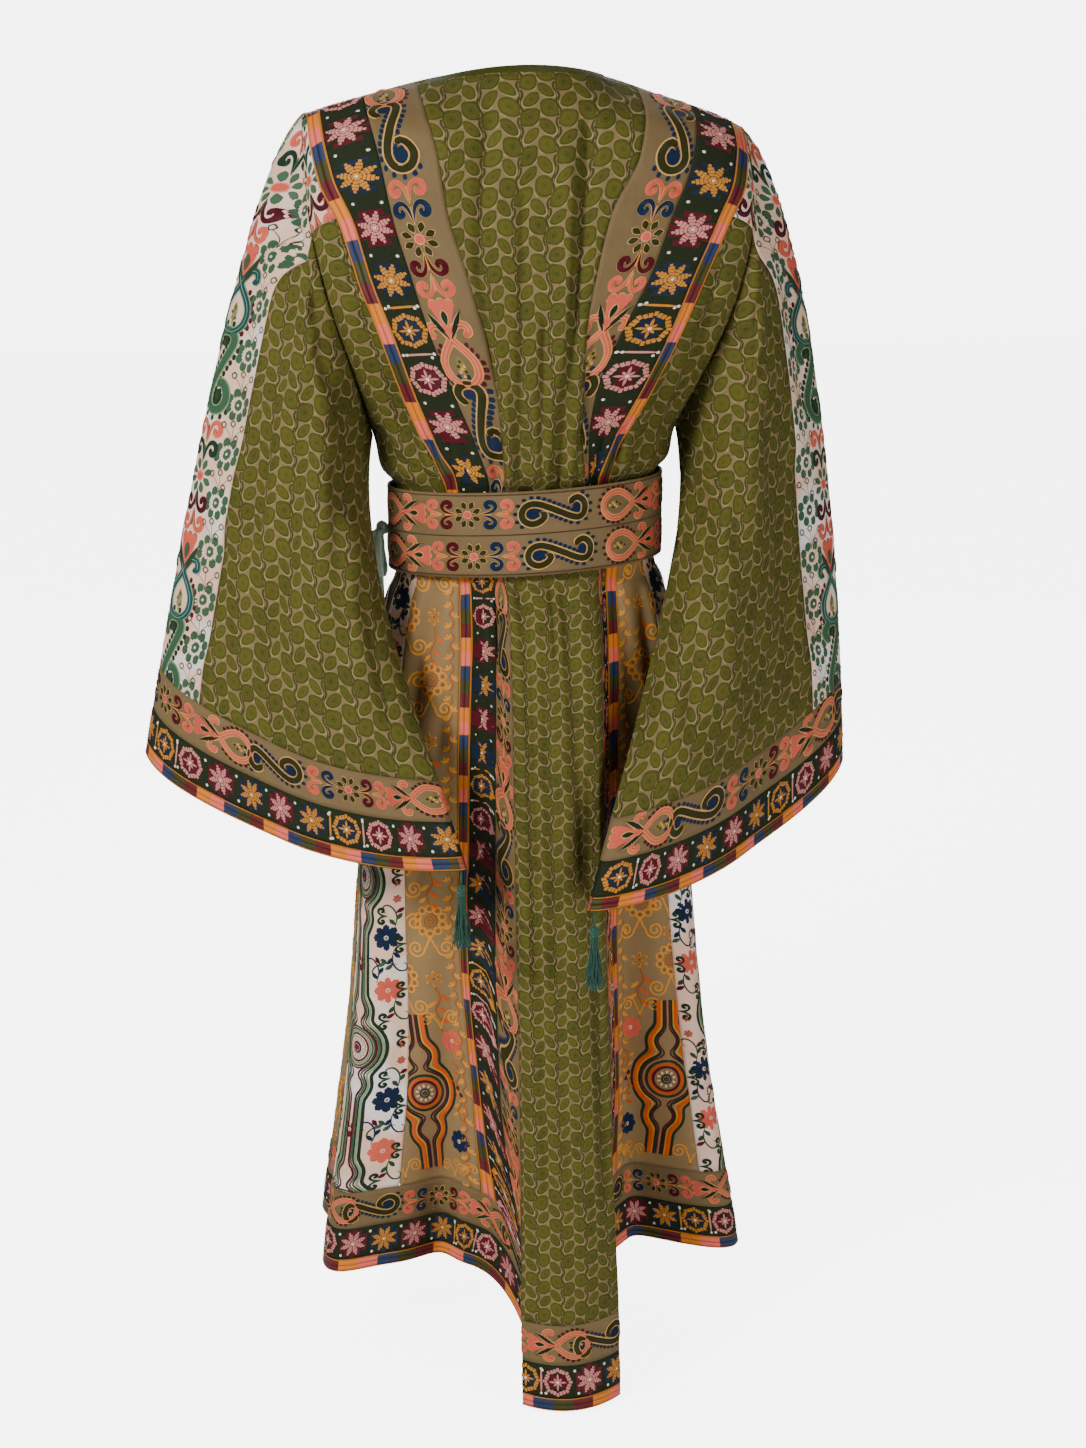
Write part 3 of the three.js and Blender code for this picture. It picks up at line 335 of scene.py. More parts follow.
def bodice_row(row, angle, back):
    """Row 0 is the shoulder line, row 1 rounds over it, the rest are the rings' ovals."""
    across, along = np.sin(angle), np.abs(np.cos(angle))
    if row <= 0:
        return shoulder_line(angle, back)
    if row == 1:
        over = mix(shoulder_line(angle, back), bodice_row(2, angle, back), OVER_SHOULDER["share"])
        over[..., 2] += OVER_SHOULDER["lift"] + OVER_SHOULDER["lean"] * np.abs(across)
        return over
    ring = {name: column[min(row, WAIST_ROW) - 2] for name, column in BODICE_RINGS.items()}
    arm = -ring["back_arm"] if back else ring["front_arm"]
    middle = -ring["back"] if back else ring["front"]
    middle_z = ring["back_z"] if back else ring["front_z"]
    return xyz(ring["half"] * across, mix(arm, middle, along), mix(ring["edge_z"], middle_z, along))


# %% The box pleat, the hem's line and the folds
def pleat_at(x, z):
    """The height on the pleat from 0 to 1, the same with its crown, and the way that the tuck pulls."""
    left_edge, right_edge = read(TRAIN_PLEAT, "left_edge", z), read(TRAIN_PLEAT, "right_edge", z)
    left = 1 - smooth((left_edge - x) / read(TRAIN_PLEAT, "left_flank", z))
    right = 1 - smooth((x - right_edge) / read(TRAIN_PLEAT, "right_flank", z))
    offset = np.minimum(1, np.abs(x - (left_edge + right_edge) / 2) / ((right_edge - left_edge) / 2))
    height = left * right
    pull = 4 * (left * (1 - left) - right * (1 - right))
    return height, height * (1 - TRAIN_CROWN * offset * offset), pull


def hem_height(angle):
    """The hem is level, but for the train's drop and a dip at the folds beside it."""
    half, shift = read(SKIRT_RINGS, "half", HEM_Z), read(SKIRT_RINGS, "shift", HEM_Z)
    height, crowned, _ = pleat_at(half * np.sin(angle) + shift, HEM_Z)
    off = (np.abs(angle) - math.radians(CORNER_DIP["angle"])) / math.radians(CORNER_DIP["spread"])
    dip = CORNER_DIP["deep"] * np.exp(-off * off)
    low = HEM_Z - dip - TRAIN_DROP * mix(crowned, smooth(height / 0.8), 0.75)
    return np.where(np.cos(angle) <= 0, HEM_Z, low)


def fold_reach(angle, z):
    """Gaussian ridges and valleys that grow towards the hem, and fine gathers under the belt."""
    grown = np.clip((FOLD_START_Z - z) / (FOLD_START_Z - HEM_Z), 0, None) ** 1.25
    reach = 0
    for centre, spread, most in zip(*SKIRT_FOLDS.values()):
        away = (np.mod(angle - math.radians(centre) + np.pi, 2 * np.pi) - np.pi) / math.radians(spread)
        reach = reach + most * np.exp(-away * away) * grown
    start = GATHERS["start"]
    below = smooth((start - z) / GATHERS["ease"]) * np.exp(np.minimum(0, z - start) / GATHERS["fade"])
    return reach + GATHERS["reach"] * below * np.cos(GATHERS["count"] * angle)


def bodice_folds(x, z):
    """Soft troughs that deepen towards the belt and end under it."""
    reach = 0
    for centre, start, spread, most in zip(*BODICE_FOLDS.values()):
        away = (x - centre) / spread
        reach = reach + most * np.exp(-away * away) * smooth((start - z) / (start - BELT_TOP))
    return reach * (1 - smooth((BELT_TOP - z) / GATHERS["ease"]))


# %% The skirt, and the whole body
def skirt_point(angle, z):
    """An oval at a height, pushed along its own outward direction by the folds."""
    half = read(SKIRT_RINGS, "half", z)
    depth = np.where(np.cos(angle) >= 0, read(SKIRT_RINGS, "back", z), read(SKIRT_RINGS, "front", z))
    out = xyz(np.sin(angle) * depth, -np.cos(angle) * half, 0 * z)
    out /= np.linalg.norm(out, axis=-1, keepdims=True)
    across = half * np.sin(angle) + read(SKIRT_RINGS, "shift", z)
    return xyz(across, -depth * np.cos(angle), z) + out * fold_reach(angle, z)[..., None]


def body(angle, row, back):
    """Catmull-Rom through the bodice's rows above the waist, and the skirt below it."""
    angle, row = (np.array(a, float) for a in np.broadcast_arrays(angle, row))
    controls = [bodice_row(k, angle, back) for k in range(WAIST_ROW + 1)]
    controls = [2 * controls[0] - controls[1], *controls, skirt_point(angle, 0 * row + WAIST_Z - 40)]
    controls = np.stack(controls)
    i = np.clip(np.floor(row).astype(int), 0, WAIST_ROW - 1)
    t = np.clip(row - i, 0, 1)[..., None]
    a, b, c, d = (np.take_along_axis(controls, (i + k)[None, ..., None], 0)[0] for k in range(4))
    cubic = 2 * b + (c - a) * t + (2 * a - 5 * b + 4 * c - d) * t**2 + (3 * b - a - 3 * c + d) * t**3
    below = row >= WAIST_ROW
    skirt = skirt_point(angle, mix(WAIST_Z, hem_height(angle), np.where(below, row - WAIST_ROW, 0)))
    p = np.where(below[..., None], skirt, cubic / 2)
    if back:
        x, z = p[..., 0].copy(), p[..., 2].copy()
        _, crowned, pull = pleat_at(x, z)
        p[..., 0] += read(TRAIN_PLEAT, "tuck", z) * pull
        p[..., 1] -= read(TRAIN_PLEAT, "reach", z) * crowned + bodice_folds(p[..., 0], z)
    near = (p[..., 2] - BELT["middle"]) / WAIST_TILT["reach"]
    p[..., 2] += WAIST_TILT["rise"] * p[..., 0] * np.exp(-near * near)
    return p


# %% Seams of the back and sides
def back_seam(name, row):
    """The angle of a seam of the back at a row, where the table has its distance from the middle."""
    side = -1 if name.endswith("left") else 1
    row = np.asarray(row, float)
    above = row < WAIST_ROW
    below_z = mix(WAIST_Z, HEM_Z - 0.6 * TRAIN_DROP, row - WAIST_ROW)
    z = np.where(above, body(0 * row, row, True)[..., 2], below_z)
    edge = np.abs(body(0 * row + np.pi / 2, row, True)[..., 0])
    half = np.where(above, edge, read(SKIRT_RINGS, "half", z))
    shift = np.where(above, 0, read(SKIRT_RINGS, "shift", z))
    return np.arcsin(np.clip((side * read(BACK_SEAMS, name, z) - shift) / half, -0.995, 0.995))


def side_seam(name, row):
    """The angle of a seam beside the flowered panel of the skirt."""
    side = -1 if name.endswith("left") else 1
    z = mix(WAIST_Z, HEM_Z, np.asarray(row, float) - WAIST_ROW)
    return side * np.radians(read(SIDE_SEAMS, name, z))


def row_above_hem(angle, distance):
    return HEM_ROW - distance / ((WAIST_Z - hem_height(angle)) * SKIRT_SLOPE)


print("train tip", body(0.1, 10.0, True).round(1))

# %% [markdown]
# ## Sleeves
# Each grain line of a sleeve is a cubic Bezier curve from the armhole to the cuff. Its two handles blend
# between the underarm, back, top and front line, so the bell hangs as those four lines say.

# %% A sleeve as one surface
SEAM_ANGLE = SEAM / 2 / 200


def armhole(side, girth):
    """The armhole seam: from the armpit at 0 up the back, the shoulder at 0.5, down the front."""
    turn = np.mod(girth, 1)
    on_back = turn <= 0.5
    row = ARMPIT_ROW * (1 - 2 * np.where(on_back, turn, 1 - turn))
    angle = side * (np.pi / 2 - SEAM_ANGLE) + 0 * row
    p = np.where(on_back[..., None], body(angle, row, True), body(angle, row, False))
    p[..., 0] += side * SEAM
    return p


def handle(sleeve, which, girth):
    """The squares of cosine and sine share the girth between the four lines' handles."""
    c, s = np.cos(2 * np.pi * girth), np.sin(2 * np.pi * girth)
    shares = [np.clip(c, 0, None), np.clip(s, 0, None), np.clip(-c, 0, None), np.clip(-s, 0, None)]
    ways = np.array(sleeve[which], float) * (sleeve["side"], 1, 1)
    return sum(share[..., None] ** 2 * way for share, way in zip(shares, ways))


def corner(sleeve, name):
    return np.array(sleeve[name], float) * (sleeve["side"], 1, 1)


def cuff_edge(sleeve, girth):
    """A flat ellipse between the cuff's two corners, which sags between them."""
    inner, outer = corner(sleeve, "inner"), corner(sleeve, "outer")
    across = -np.cos(2 * np.pi * girth)[..., None]
    flat = (outer - inner) * (1, 1, 0)
    flat /= np.linalg.norm(flat)
    back = np.array([flat[1], -flat[0], 0])
    back *= -np.sign(back[1])
    bulge = np.sin(2 * np.pi * girth)[..., None]
    p = mix(inner, outer, (1 + across) / 2) + back * sleeve["cuff_half"] * bulge
    p[..., 2] -= sleeve["cuff_sag"] * (1 - across[..., 0] ** 2)
    return p


def sleeve_point(sleeve, girth, along):
    """Cubic Bezier in along, with shallow flutes round the girth that grow towards the cuff."""
    girth, along = (np.array(a, float) for a in np.broadcast_arrays(girth, along))
    a, d = armhole(sleeve["side"], girth), cuff_edge(sleeve, girth)
    b, c = a + handle(sleeve, "leave", girth), d + handle(sleeve, "arrive", girth)
    t = np.clip(along, 0, 1)[..., None]
    p = (1 - t) ** 3 * a + 3 * (1 - t) ** 2 * t * b + 3 * (1 - t) * t**2 * c + t**3 * d
    root = np.array(SLEEVE_ROOT, float) * (sleeve["side"], 1, 1)
    middle = mix(root, mix(corner(sleeve, "inner"), corner(sleeve, "outer"), 0.5), along[..., None])
    out = (p - middle) * (1, 1, 0)
    out /= np.linalg.norm(out, axis=-1, keepdims=True)
    swell = SLEEVE_FLUTES["reach"] * smooth((along - SLEEVE_FLUTES["start"]) / (1 - SLEEVE_FLUTES["start"]))
    flute = swell * np.cos(2 * np.pi * SLEEVE_FLUTES["count"] * girth + SLEEVE_FLUTES["turn"])
    return p + out * flute[..., None]


def along_above_cuff(sleeve, girth, distance):
    return 1 - distance / (3 * np.linalg.norm(handle(sleeve, "arrive", girth), axis=-1))


def drifted(girth, along):
    """The back seam leaves the armhole low and swings up towards the top of the sleeve."""
    seam = SLEEVE_SEAM["back"]
    share = np.clip(np.where(girth < seam, girth / seam, (0.5 - girth) / (0.5 - seam)), 0, 1)
    return girth + SEAM_DRIFT["most"] * share * smooth(along / SEAM_DRIFT["by"])


print("left sleeve at mid back", sleeve_point(SLEEVES["left"], 0.3, 0.5).round(1))

# %% [markdown]
# ## Cloth from a grid
# A panel is a grid of points on the outer side with their outward normals. The inner side lies one cloth
# thickness behind it and a rim of faces joins the two, so that each panel is a closed thin shell. The
# grid also knows where each point lies on the flat cut: x across and y down the panel, in metres. The
# embroidery and the woven patterns are laid out on that flat cut and follow the folds by themselves.

# %% Creases
# the pull of the belt and of the arms: from one place to another in x and z, half a width and a depth
CREASE_COLUMNS = "x0 z0 x1 z1 half depth"
CREASE_DEPTH = 1.45
CREASE_TURN = 0.35  # creases go on round the side until the cloth faces the other way by this much
CREASES = {
    "back": table(
        CREASE_COLUMNS,
        (57, -45, 43, -195, 7, 7.5), (43, -190, 17, -446, 6.5, 7), (31, -80, 24, -330, 9, -4),
        (-50, -25, -60, -120, 9, 5), (-60, -110, -66, -210, 8, 5.5), (-66, -200, -47, -446, 7, 5.5),
        (-18, -120, -24, -446, 6, 4), (4, -260, 0, -446, 5.5, 4.5), (-40, -330, -36, -446, 5, -3),
        (-88, -392, -80, -449, 4.5, 3.5), (-104, -385, -95, -449, 4.5, 3.5), (-124, -392, -112, -449, 4.5, 3),
        (48, -372, 40, -449, 4.5, 3.5), (74, -385, 62, -449, 4.5, 3.5), (98, -380, 86, -449, 4.5, 4),
        (122, -392, 108, -449, 4.5, 3.5), (-178, -386, -156, -423, 6, 3.5), (-158, -418, -116, -446, 6, 3.5),
        (-168, -330, -128, -436, 7, 4), (150, -320, 118, -440, 7, 4), (172, -350, 142, -436, 6, 3.5),
        (-206, -190, -180, -340, 8, 2.5), (204, -205, 178, -340, 8, 2.5), (-196, -240, -150, -400, 9, 3.5),
        (196, -250, 150, -400, 9, 3.5), (-162, -62, -120, -78, 5, 1.6), (-166, -92, -128, -104, 5, 1.4),
        (140, -70, 172, -84, 5, 1.5), (-24, -550, -17, -1000, 5, 5), (-17, -990, -12, -1250, 6, 3.5),
        (28, -560, 44, -900, 8, 4), (2, -620, 12, -1230, 10, 3), (50, -760, 60, -1260, 7, 4),
        (-86, -552, -118, -760, 8, 4), (-118, -552, -160, -800, 9, 5), (90, -552, 122, -780, 8, 4),
        (122, -552, 158, -800, 9, 5), (-70, -560, -80, -900, 6, 3.5), (-140, -820, -165, -1180, 14, 5),
        (150, -820, 176, -1180, 14, 5), (-52, -552, -50, -640, 4, 2.5), (12, -552, 14, -640, 4, 2.5),
    ),
    "front": table(
        CREASE_COLUMNS,
        (-60, -110, -42, -446, 8, 4.5), (56, -120, 38, -446, 8, 4.5), (0, -130, 4, -446, 9, 3.5),
        (-112, -140, -92, -446, 9, 4), (108, -150, 92, -446, 9, 4), (-152, -330, -122, -440, 7, 3),
        (150, -330, 122, -440, 7, 3), (-25, -380, -20, -449, 5, 2.5), (25, -380, 22, -449, 5, 2.5),
        (-82, -385, -70, -449, 5, 2.5), (78, -385, 70, -449, 5, 2.5), (-104, -552, -132, -900, 9, 4),
        (-60, -552, -82, -1000, 9, 4.5), (-20, -552, -26, -950, 9, 4), (22, -552, 31, -1020, 9, 4.5),
        (62, -552, 86, -950, 9, 4.5), (104, -552, 136, -900, 9, 4), (-142, -620, -170, -1100, 12, 4),
        (142, -620, 170, -1100, 12, 4), (0, -700, 2, -1250, 12, 4),
    ),
    "sleeve_left": table(
        CREASE_COLUMNS,
        (-241, -273, -312, -640, 15, 6), (-219, -403, -236, -690, 14, 6), (-258, -198, -332, -528, 14, 5),
        (-267, -140, -250, -222, 6, 4), (-246, -215, -226, -340, 8, 4), (-282, -330, -300, -520, 12, -4),
        (-200, -540, -172, -700, 12, 5), (-352, -500, -388, -640, 13, 5), (-240, -235, -268, -320, 7, 4),
        (-300, -180, -345, -420, 14, 4), (-215, -330, -206, -480, 9, 4),
    ),
    "sleeve_right": table(
        CREASE_COLUMNS,
        (228, -277, 223, -531, 15, 6), (192, -450, 163, -720, 14, 6), (265, -355, 306, -650, 15, 6),
        (262, -230, 226, -300, 8, 4), (250, -255, 232, -375, 8, 4), (300, -420, 345, -660, 14, 5),
        (124, -620, 102, -760, 12, 5), (208, -600, 222, -730, 13, -4), (285, -170, 330, -380, 12, 4),
        (262, -300, 236, -420, 9, 4),
    ),
}


def creased(points, normals, names):
    """Moves points along their normals by soft troughs that fade out at both ends."""
    moved = points.copy()
    rows = [(name, *row) for name in names for row in zip(*CREASES[name].values())]
    for name, x0, z0, x1, z1, half, depth in rows:
        run = np.array([x1 - x0, z1 - z0], float)
        length = np.linalg.norm(run)
        off = points[..., [0, 2]] - (x0, z0)
        along = (off @ run) / length
        side = (off[..., 0] * run[1] - off[..., 1] * run[0]) / length
        ends = smooth((along + half) / (3 * half)) * smooth((length + half - along) / (3 * half))
        reach = -depth * CREASE_DEPTH * np.exp(-((side / half) ** 2)) * ends
        out = normals[..., 1] * (-1 if name == "front" else 1)
        moved += normals * (reach * (out < CREASE_TURN))[..., None]
    return moved


def grid_normals(points):
    """The cross product of the grid's two slopes, which points out where columns run left to right."""
    down, right = np.gradient(points, axis=0), np.gradient(points, axis=1)
    normals = np.cross(down, right)
    return normals / np.maximum(np.linalg.norm(normals, axis=-1, keepdims=True), 1e-9)


# %% A panel
MM = 0.001


class Cloth:
    """A panel's outer grid in millimetres, with the flat cut's x and y in millimetres for each row. Where
    the cloth is gathered or its pattern is smaller, scale says by how much the flat cut is stretched."""

    def __init__(self, name, points, anchor=0.5, closed=False, width=None, creases=(), normals=None,
                 grain=None, scale=None):
        self.name, self.anchor, self.closed = name, anchor, closed
        if normals is None:
            normals = grid_normals(points)
            if closed:
                wide = np.concatenate([points[:, -2:-1], points, points[:, 1:2]], axis=1)
                normals = grid_normals(wide)[:, 1:-1]
        self.points = creased(points, normals, creases)
        if creases:
            normals = normals + grid_normals(self.points) - grid_normals(points)
            normals /= np.linalg.norm(normals, axis=-1, keepdims=True)
        self.normals = normals
        steps = np.linalg.norm(np.diff(self.points, axis=1), axis=-1)
        self.share = np.linspace(0, 1, points.shape[1])
        self.width = steps.sum(axis=1)
        if width is not None:
            self.width = width(self.width) if callable(width) else np.full(len(points), float(width))
        column = int(round(anchor * (points.shape[1] - 1)))
        down = np.linalg.norm(np.diff(self.points[:, column], axis=0), axis=-1)
        self.length = float(down.sum()) * MM
        corner = self.points[:-1, :-1]
        halves = [np.cross(self.points[1:, :-1] - corner, self.points[1:, 1:] - corner),
                  np.cross(self.points[1:, 1:] - corner, self.points[:-1, 1:] - corner)]
        self.area = float(np.linalg.norm(halves, axis=-1).sum()) / 2 * MM * MM
        if scale is not None:
            size = scale(np.concatenate([[0], np.cumsum(down)]))
            down = down / (size[1:] + size[:-1]) * 2
            if width is None:
                self.width = self.width / size
        self.down = np.concatenate([[0], np.cumsum(down)])
        x = (self.share[None, :] - self.anchor) * self.width[:, None]
        self.flat = np.stack([x, np.broadcast_to(self.down[:, None], x.shape)], axis=-1)
        self.slanted = grain is not None
        if self.slanted:
            self.flat = self.along_grain(np.array(grain, float), column)

    def along_grain(self, grain, column):
        """Where rows lie askew: y is the distance along the grain, and x adds up the steps across it."""
        grain /= np.linalg.norm(grain)
        step = np.diff(self.points, axis=1)
        step -= (step @ grain)[..., None] * grain
        across = np.cumsum(np.linalg.norm(step, axis=-1), axis=1)
        x = np.concatenate([np.zeros((len(step), 1)), across], axis=1)
        y = self.points @ grain
        return np.stack([x - x[:, column : column + 1], y - y.min()], axis=-1)

    def run_length(self):
        """How far figures run that follow each other: round a closed cloth, or down an open one."""
        return self.width[0] if self.closed else self.down[-1]

    def find(self, flat):
        """The row and column at places of the flat cut. Slanted cloth takes a few Newton steps."""
        rows, columns = self.points.shape[:2]
        i = np.interp(flat[..., 1], self.down, np.arange(rows))
        width = np.interp(flat[..., 1], self.down, self.width)
        j = (self.anchor + flat[..., 0] / width) * (columns - 1)
        if not self.slanted:
            return i, j
        slope_i, slope_j = np.gradient(self.flat, axis=0), np.gradient(self.flat, axis=1)
        for _ in range(14):
            i, j = np.clip(i, -3, rows + 2), np.clip(j, -3, columns + 2)
            a, b = np.clip(i, 0, rows - 1), np.clip(j, 0, columns - 1)
            at, down, right = (self.between(grid, a, b) for grid in (self.flat, slope_i, slope_j))
            miss = flat - at - down * (i - a)[..., None] - right * (j - b)[..., None]
            area = down[..., 0] * right[..., 1] - down[..., 1] * right[..., 0]
            area = np.where(np.abs(area) < 1e-3, 1e-3, area)
            i = i + 0.8 * (miss[..., 0] * right[..., 1] - miss[..., 1] * right[..., 0]) / area
            j = j + 0.8 * (down[..., 0] * miss[..., 1] - down[..., 1] * miss[..., 0]) / area
        return i, j

    def between(self, grid, i, j):
        """A grid's value between its rows and columns."""
        rows, columns = grid.shape[:2]
        i0 = np.clip(i.astype(int), 0, rows - 2)
        j0 = np.clip(j.astype(int), 0, columns - 2)
        ti, tj = (i - i0)[..., None], (j - j0)[..., None]
        top = mix(grid[i0, j0], grid[i0, j0 + 1], tj)
        return mix(top, mix(grid[i0 + 1, j0], grid[i0 + 1, j0 + 1], tj), ti)

    def place(self, flat, lift):
        """Points of the flat cut, in millimetres, on the draped cloth. Also says which lie inside it."""
        rows, columns = self.points.shape[:2]
        i, j = self.find(flat)
        if self.closed:
            inside = (flat[..., 1] > 0) & (flat[..., 1] < self.down[-1])
            j = np.mod(j, columns - 1)
        else:
            inside = (i > 0) & (i < rows - 1) & (j > 0) & (j < columns - 1)
        i, j = np.clip(i, 0, rows - 1), np.clip(j, 0, columns - 1)
        normal = self.between(self.normals, i, j)
        normal /= np.maximum(np.linalg.norm(normal, axis=-1, keepdims=True), 1e-9)
        return self.between(self.points, i, j) + normal * lift[..., None], inside


def make_object(name, points, faces):
    """A mesh object at the origin, from points in metres and faces of three or four corners."""
    mesh = bpy.data.meshes.new(name)
    mesh.from_pydata(points.tolist(), [], faces.tolist())
    mesh.polygons.foreach_set("use_smooth", np.full(len(faces), True))
    mesh.update()
    made = bpy.data.objects.new(name, mesh)
    bpy.context.scene.collection.objects.link(made)
    return made


def set_uv(made, name, flat):
    """A UV map from one pair of numbers for each vertex."""
    mesh = made.data
    corner_vertex = np.empty(len(mesh.loops), int)
    mesh.loops.foreach_get("vertex_index", corner_vertex)
    layer = mesh.uv_layers.new(name=name)
    layer.data.foreach_set("uv", flat[corner_vertex].astype(np.float32).ravel())


def grid_faces(rows, columns, closed=False):
    """The quads of a grid, seen from outside."""
    spans = columns if closed else columns - 1
    i, j = np.meshgrid(np.arange(rows - 1), np.arange(spans), indexing="ij")
    a, b = i * columns + j, i * columns + (j + 1) % columns
    return np.stack([a, a + columns, b + columns, b], axis=-1).reshape(-1, 4)


def shell(cloth, wall=CLOTH):
    """The closed thin shell of a panel: outer grid, inner grid and rim."""
    outer = cloth.points[:, :-1] if cloth.closed else cloth.points
    normals = cloth.normals[:, :-1] if cloth.closed else cloth.normals
    rows, columns = outer.shape[:2]
    count = rows * columns
    points = np.concatenate([outer.reshape(-1, 3), (outer - normals * wall).reshape(-1, 3)]) * MM
    front = grid_faces(rows, columns, cloth.closed)
    faces = [front, front[:, ::-1] + count]
    index = np.arange(count).reshape(rows, columns)
    around = [index[0, ::-1], index[-1]]
    if not cloth.closed:
        around = [np.concatenate([index[:, 0], index[-1, 1:], index[-2::-1, -1], index[0, -2::-1]])]
    for edge in around:
        a, b = edge[:-1], edge[1:]
        if cloth.closed:
            a, b = edge, np.roll(edge, -1)
        faces.append(np.stack([a, a + count, b + count, b], axis=-1))
    made = make_object(cloth.name, points, np.concatenate(faces))
    flat = cloth.flat[:, : outer.shape[1]].reshape(-1, 2) * MM
    if cloth.closed:
        flat = flat[:, ::-1]  # a ribbon's long way is always y
    set_uv(made, "flat_cut", np.concatenate([flat, flat]))
    return made


def rows_by_length(surface, start, end, step):
    """Rows between two, evenly spaced by the surface's own length."""
    fine = np.linspace(start, end, 400)
    line = surface(fine)
    length = np.concatenate([[0], np.cumsum(np.linalg.norm(np.diff(line, axis=0), axis=-1))])
    count = max(3, int(round(length[-1] / step)))
    return np.interp(np.linspace(0, length[-1], count + 1), length, fine)


GRID, FRONT_GRID = 5.6, 7.0  # millimetres between the points of the cloth's grid
print("cloth grid", GRID, "mm")

# %% [markdown]
# ## The body's panels
# The seams are read at each row, and the columns of a panel are spread evenly between its two seams. Below
# the waist the rows are drawn in so that the last one ends exactly above the border of the hem.

# %% A panel of the body
RIDGE_REACH = 25  # how far from the shoulder line the normals are turned down
BODY_RADIUS = 235  # turns a panel's angle into millimetres across, to count its columns
# half a seam, counted in rows: at the cap's lower end, above the belt, and on the skirt
CAP_GAP, WAIST_GAP, SKIRT_GAP = SEAM / 2 / 80, SEAM / 2 / 50, SEAM / 2 / 900


def body_normals(row, points):
    """Grid normals, which stand straight down on the shoulder line so that back and front meet flat."""
    normals = grid_normals(points)
    near = np.where(row < 0.5, np.minimum(1, np.abs(points[..., 1]) / RIDGE_REACH), 1)
    normals[..., 1] *= near
    return normals / np.linalg.norm(normals, axis=-1, keepdims=True)


def body_panel(name, left, right, start, end, back=True, to_hem=False, **more):
    """Points between two seams, from a first row to a last one. The front's lie further apart."""
    grid = GRID if back else FRONT_GRID
    middle_row = rows_by_length(lambda row: body((left(row) + right(row)) / 2, row, back), start, end, grid)
    widest = np.abs(right(middle_row) - left(middle_row)).max() * BODY_RADIUS
    columns = max(3, int(round(widest / grid)))
    share = np.linspace(0, 1, columns + 1)[None, :]
    row = np.repeat(middle_row[:, None], columns + 1, axis=1)
    inset = SEAM_ANGLE * (1 - 2 * share)
    at = row
    angle = mix(left(row), right(row), share) + inset
    if to_hem:
        for _ in range(6):
            last = row_above_hem(angle, BORDER + SEAM)
            at = np.where(row > WAIST_ROW, mix(WAIST_ROW, last, row - WAIST_ROW), row)
            angle = mix(left(at), right(at), share) + inset
    points = body(angle, at, back)
    return Cloth(name, points, normals=body_normals(at, points), **more)


def seam(name):
    return lambda row: back_seam(name, row)


CLOTHS = {}
REPEAT_SIZE = table(
    "y leaf ribbon",
    (0, 1.34, 1), (150, 1.3, 1), (330, 1.12, 1), (440, 1.0, 1), (560, 0.97, 0.69), (2000, 0.98, 0.67),
)


def size_of(kind):
    """Leaves and figures are largest at the shoulders, and smaller where the belt gathers the cloth."""
    return lambda down: np.interp(down, REPEAT_SIZE["y"], REPEAT_SIZE[kind])


def half_hidden(width):
    """A scroll ribbon is partly tucked under the fold above the belt. Below it shows its whole width."""
    share = np.linspace(0, 1, len(width))
    return mix(width, RIBBON["scroll"], smooth((share - 0.3) / 0.08))


def keep(cloth, finish, *nodes):
    """Remembers a panel, its finish and the CAD nodes that it stands for."""
    CLOTHS[cloth.name] = {"cloth": cloth, "finish": finish, "nodes": nodes}


keep(
    body_panel("back_centre_cloth", seam("leaf_left"), seam("leaf_right"), 0, HEM_ROW, to_hem=True,
               creases=["back"], scale=size_of("leaf")),
    "leaf_cloth", "back_centre_panel",
)
RIBBON_SEAMS = [("scroll", "leaf", "scroll"), ("star", "scroll", "star"), ("stripe", "star", "stripe")]
for kind, inner, outer in RIBBON_SEAMS:
    for side in ("left", "right"):
        near, far = seam(f"{inner}_{side}"), seam(f"{outer}_{side}")
        left, right = (far, near) if side == "left" else (near, far)
        keep(
            body_panel(f"{kind}_ribbon_cloth_{side}", left, right, 0, HEM_ROW, to_hem=True,
                       anchor=0.0 if side == "left" else 1.0, creases=["back"],
                       width=half_hidden if kind == "scroll" else RIBBON[kind], scale=size_of("ribbon")),
            f"{kind}_ribbon", f"{kind}_ribbon_{side}",
        )
for side, way in (("left", -1), ("right", 1)):
    stripe = seam(f"stripe_{side}")
    gold = lambda row, side=side: side_seam(f"gold_{side}", row)
    flower = lambda row, side=side: side_seam(f"flower_{side}", row)
    sideline = lambda row, way=way: 0 * np.asarray(row, float) + way * np.pi / 2
    order = (lambda a, b: (b, a)) if way < 0 else (lambda a, b: (a, b))
    keep(body_panel(f"cap_cloth_{side}", *order(stripe, sideline), 0, CAP_END - CAP_GAP, creases=["back"]),
         "flower_cloth", f"sleeve_cap_{side}")
    keep(body_panel(f"bodice_side_cloth_{side}", *order(stripe, sideline), CAP_END + CAP_GAP,
                    WAIST_ROW - WAIST_GAP, creases=["back"], scale=lambda down: 0 * down + 1.15),
         "leaf_cloth", f"bodice_side_{side}")
    keep(body_panel(f"skirt_gold_cloth_{side}", *order(stripe, gold), WAIST_ROW + SKIRT_GAP, HEM_ROW,
                    to_hem=True, anchor=1.0 if way < 0 else 0.0, creases=["back"]),
         "gold_cloth", f"skirt_gold_panel_{side}")
    keep(body_panel(f"skirt_flower_cloth_{side}", *order(gold, flower), WAIST_ROW + SKIRT_GAP, HEM_ROW,
                    to_hem=True, anchor=1.0 if way < 0 else 0.0, creases=["back"]),
         "flower_cloth", f"skirt_flower_panel_{side}")

quarter = lambda turns: lambda row: 0 * np.asarray(row, float) + turns * np.pi / 2
keep(body_panel("front_bodice_cloth", quarter(1), quarter(3), 0, WAIST_ROW - WAIST_GAP, back=False,
                creases=["front"], scale=size_of("leaf")),
     "leaf_cloth", "front_bodice")


def front_end(row):
    return 2 * np.pi + side_seam("flower_left", row)


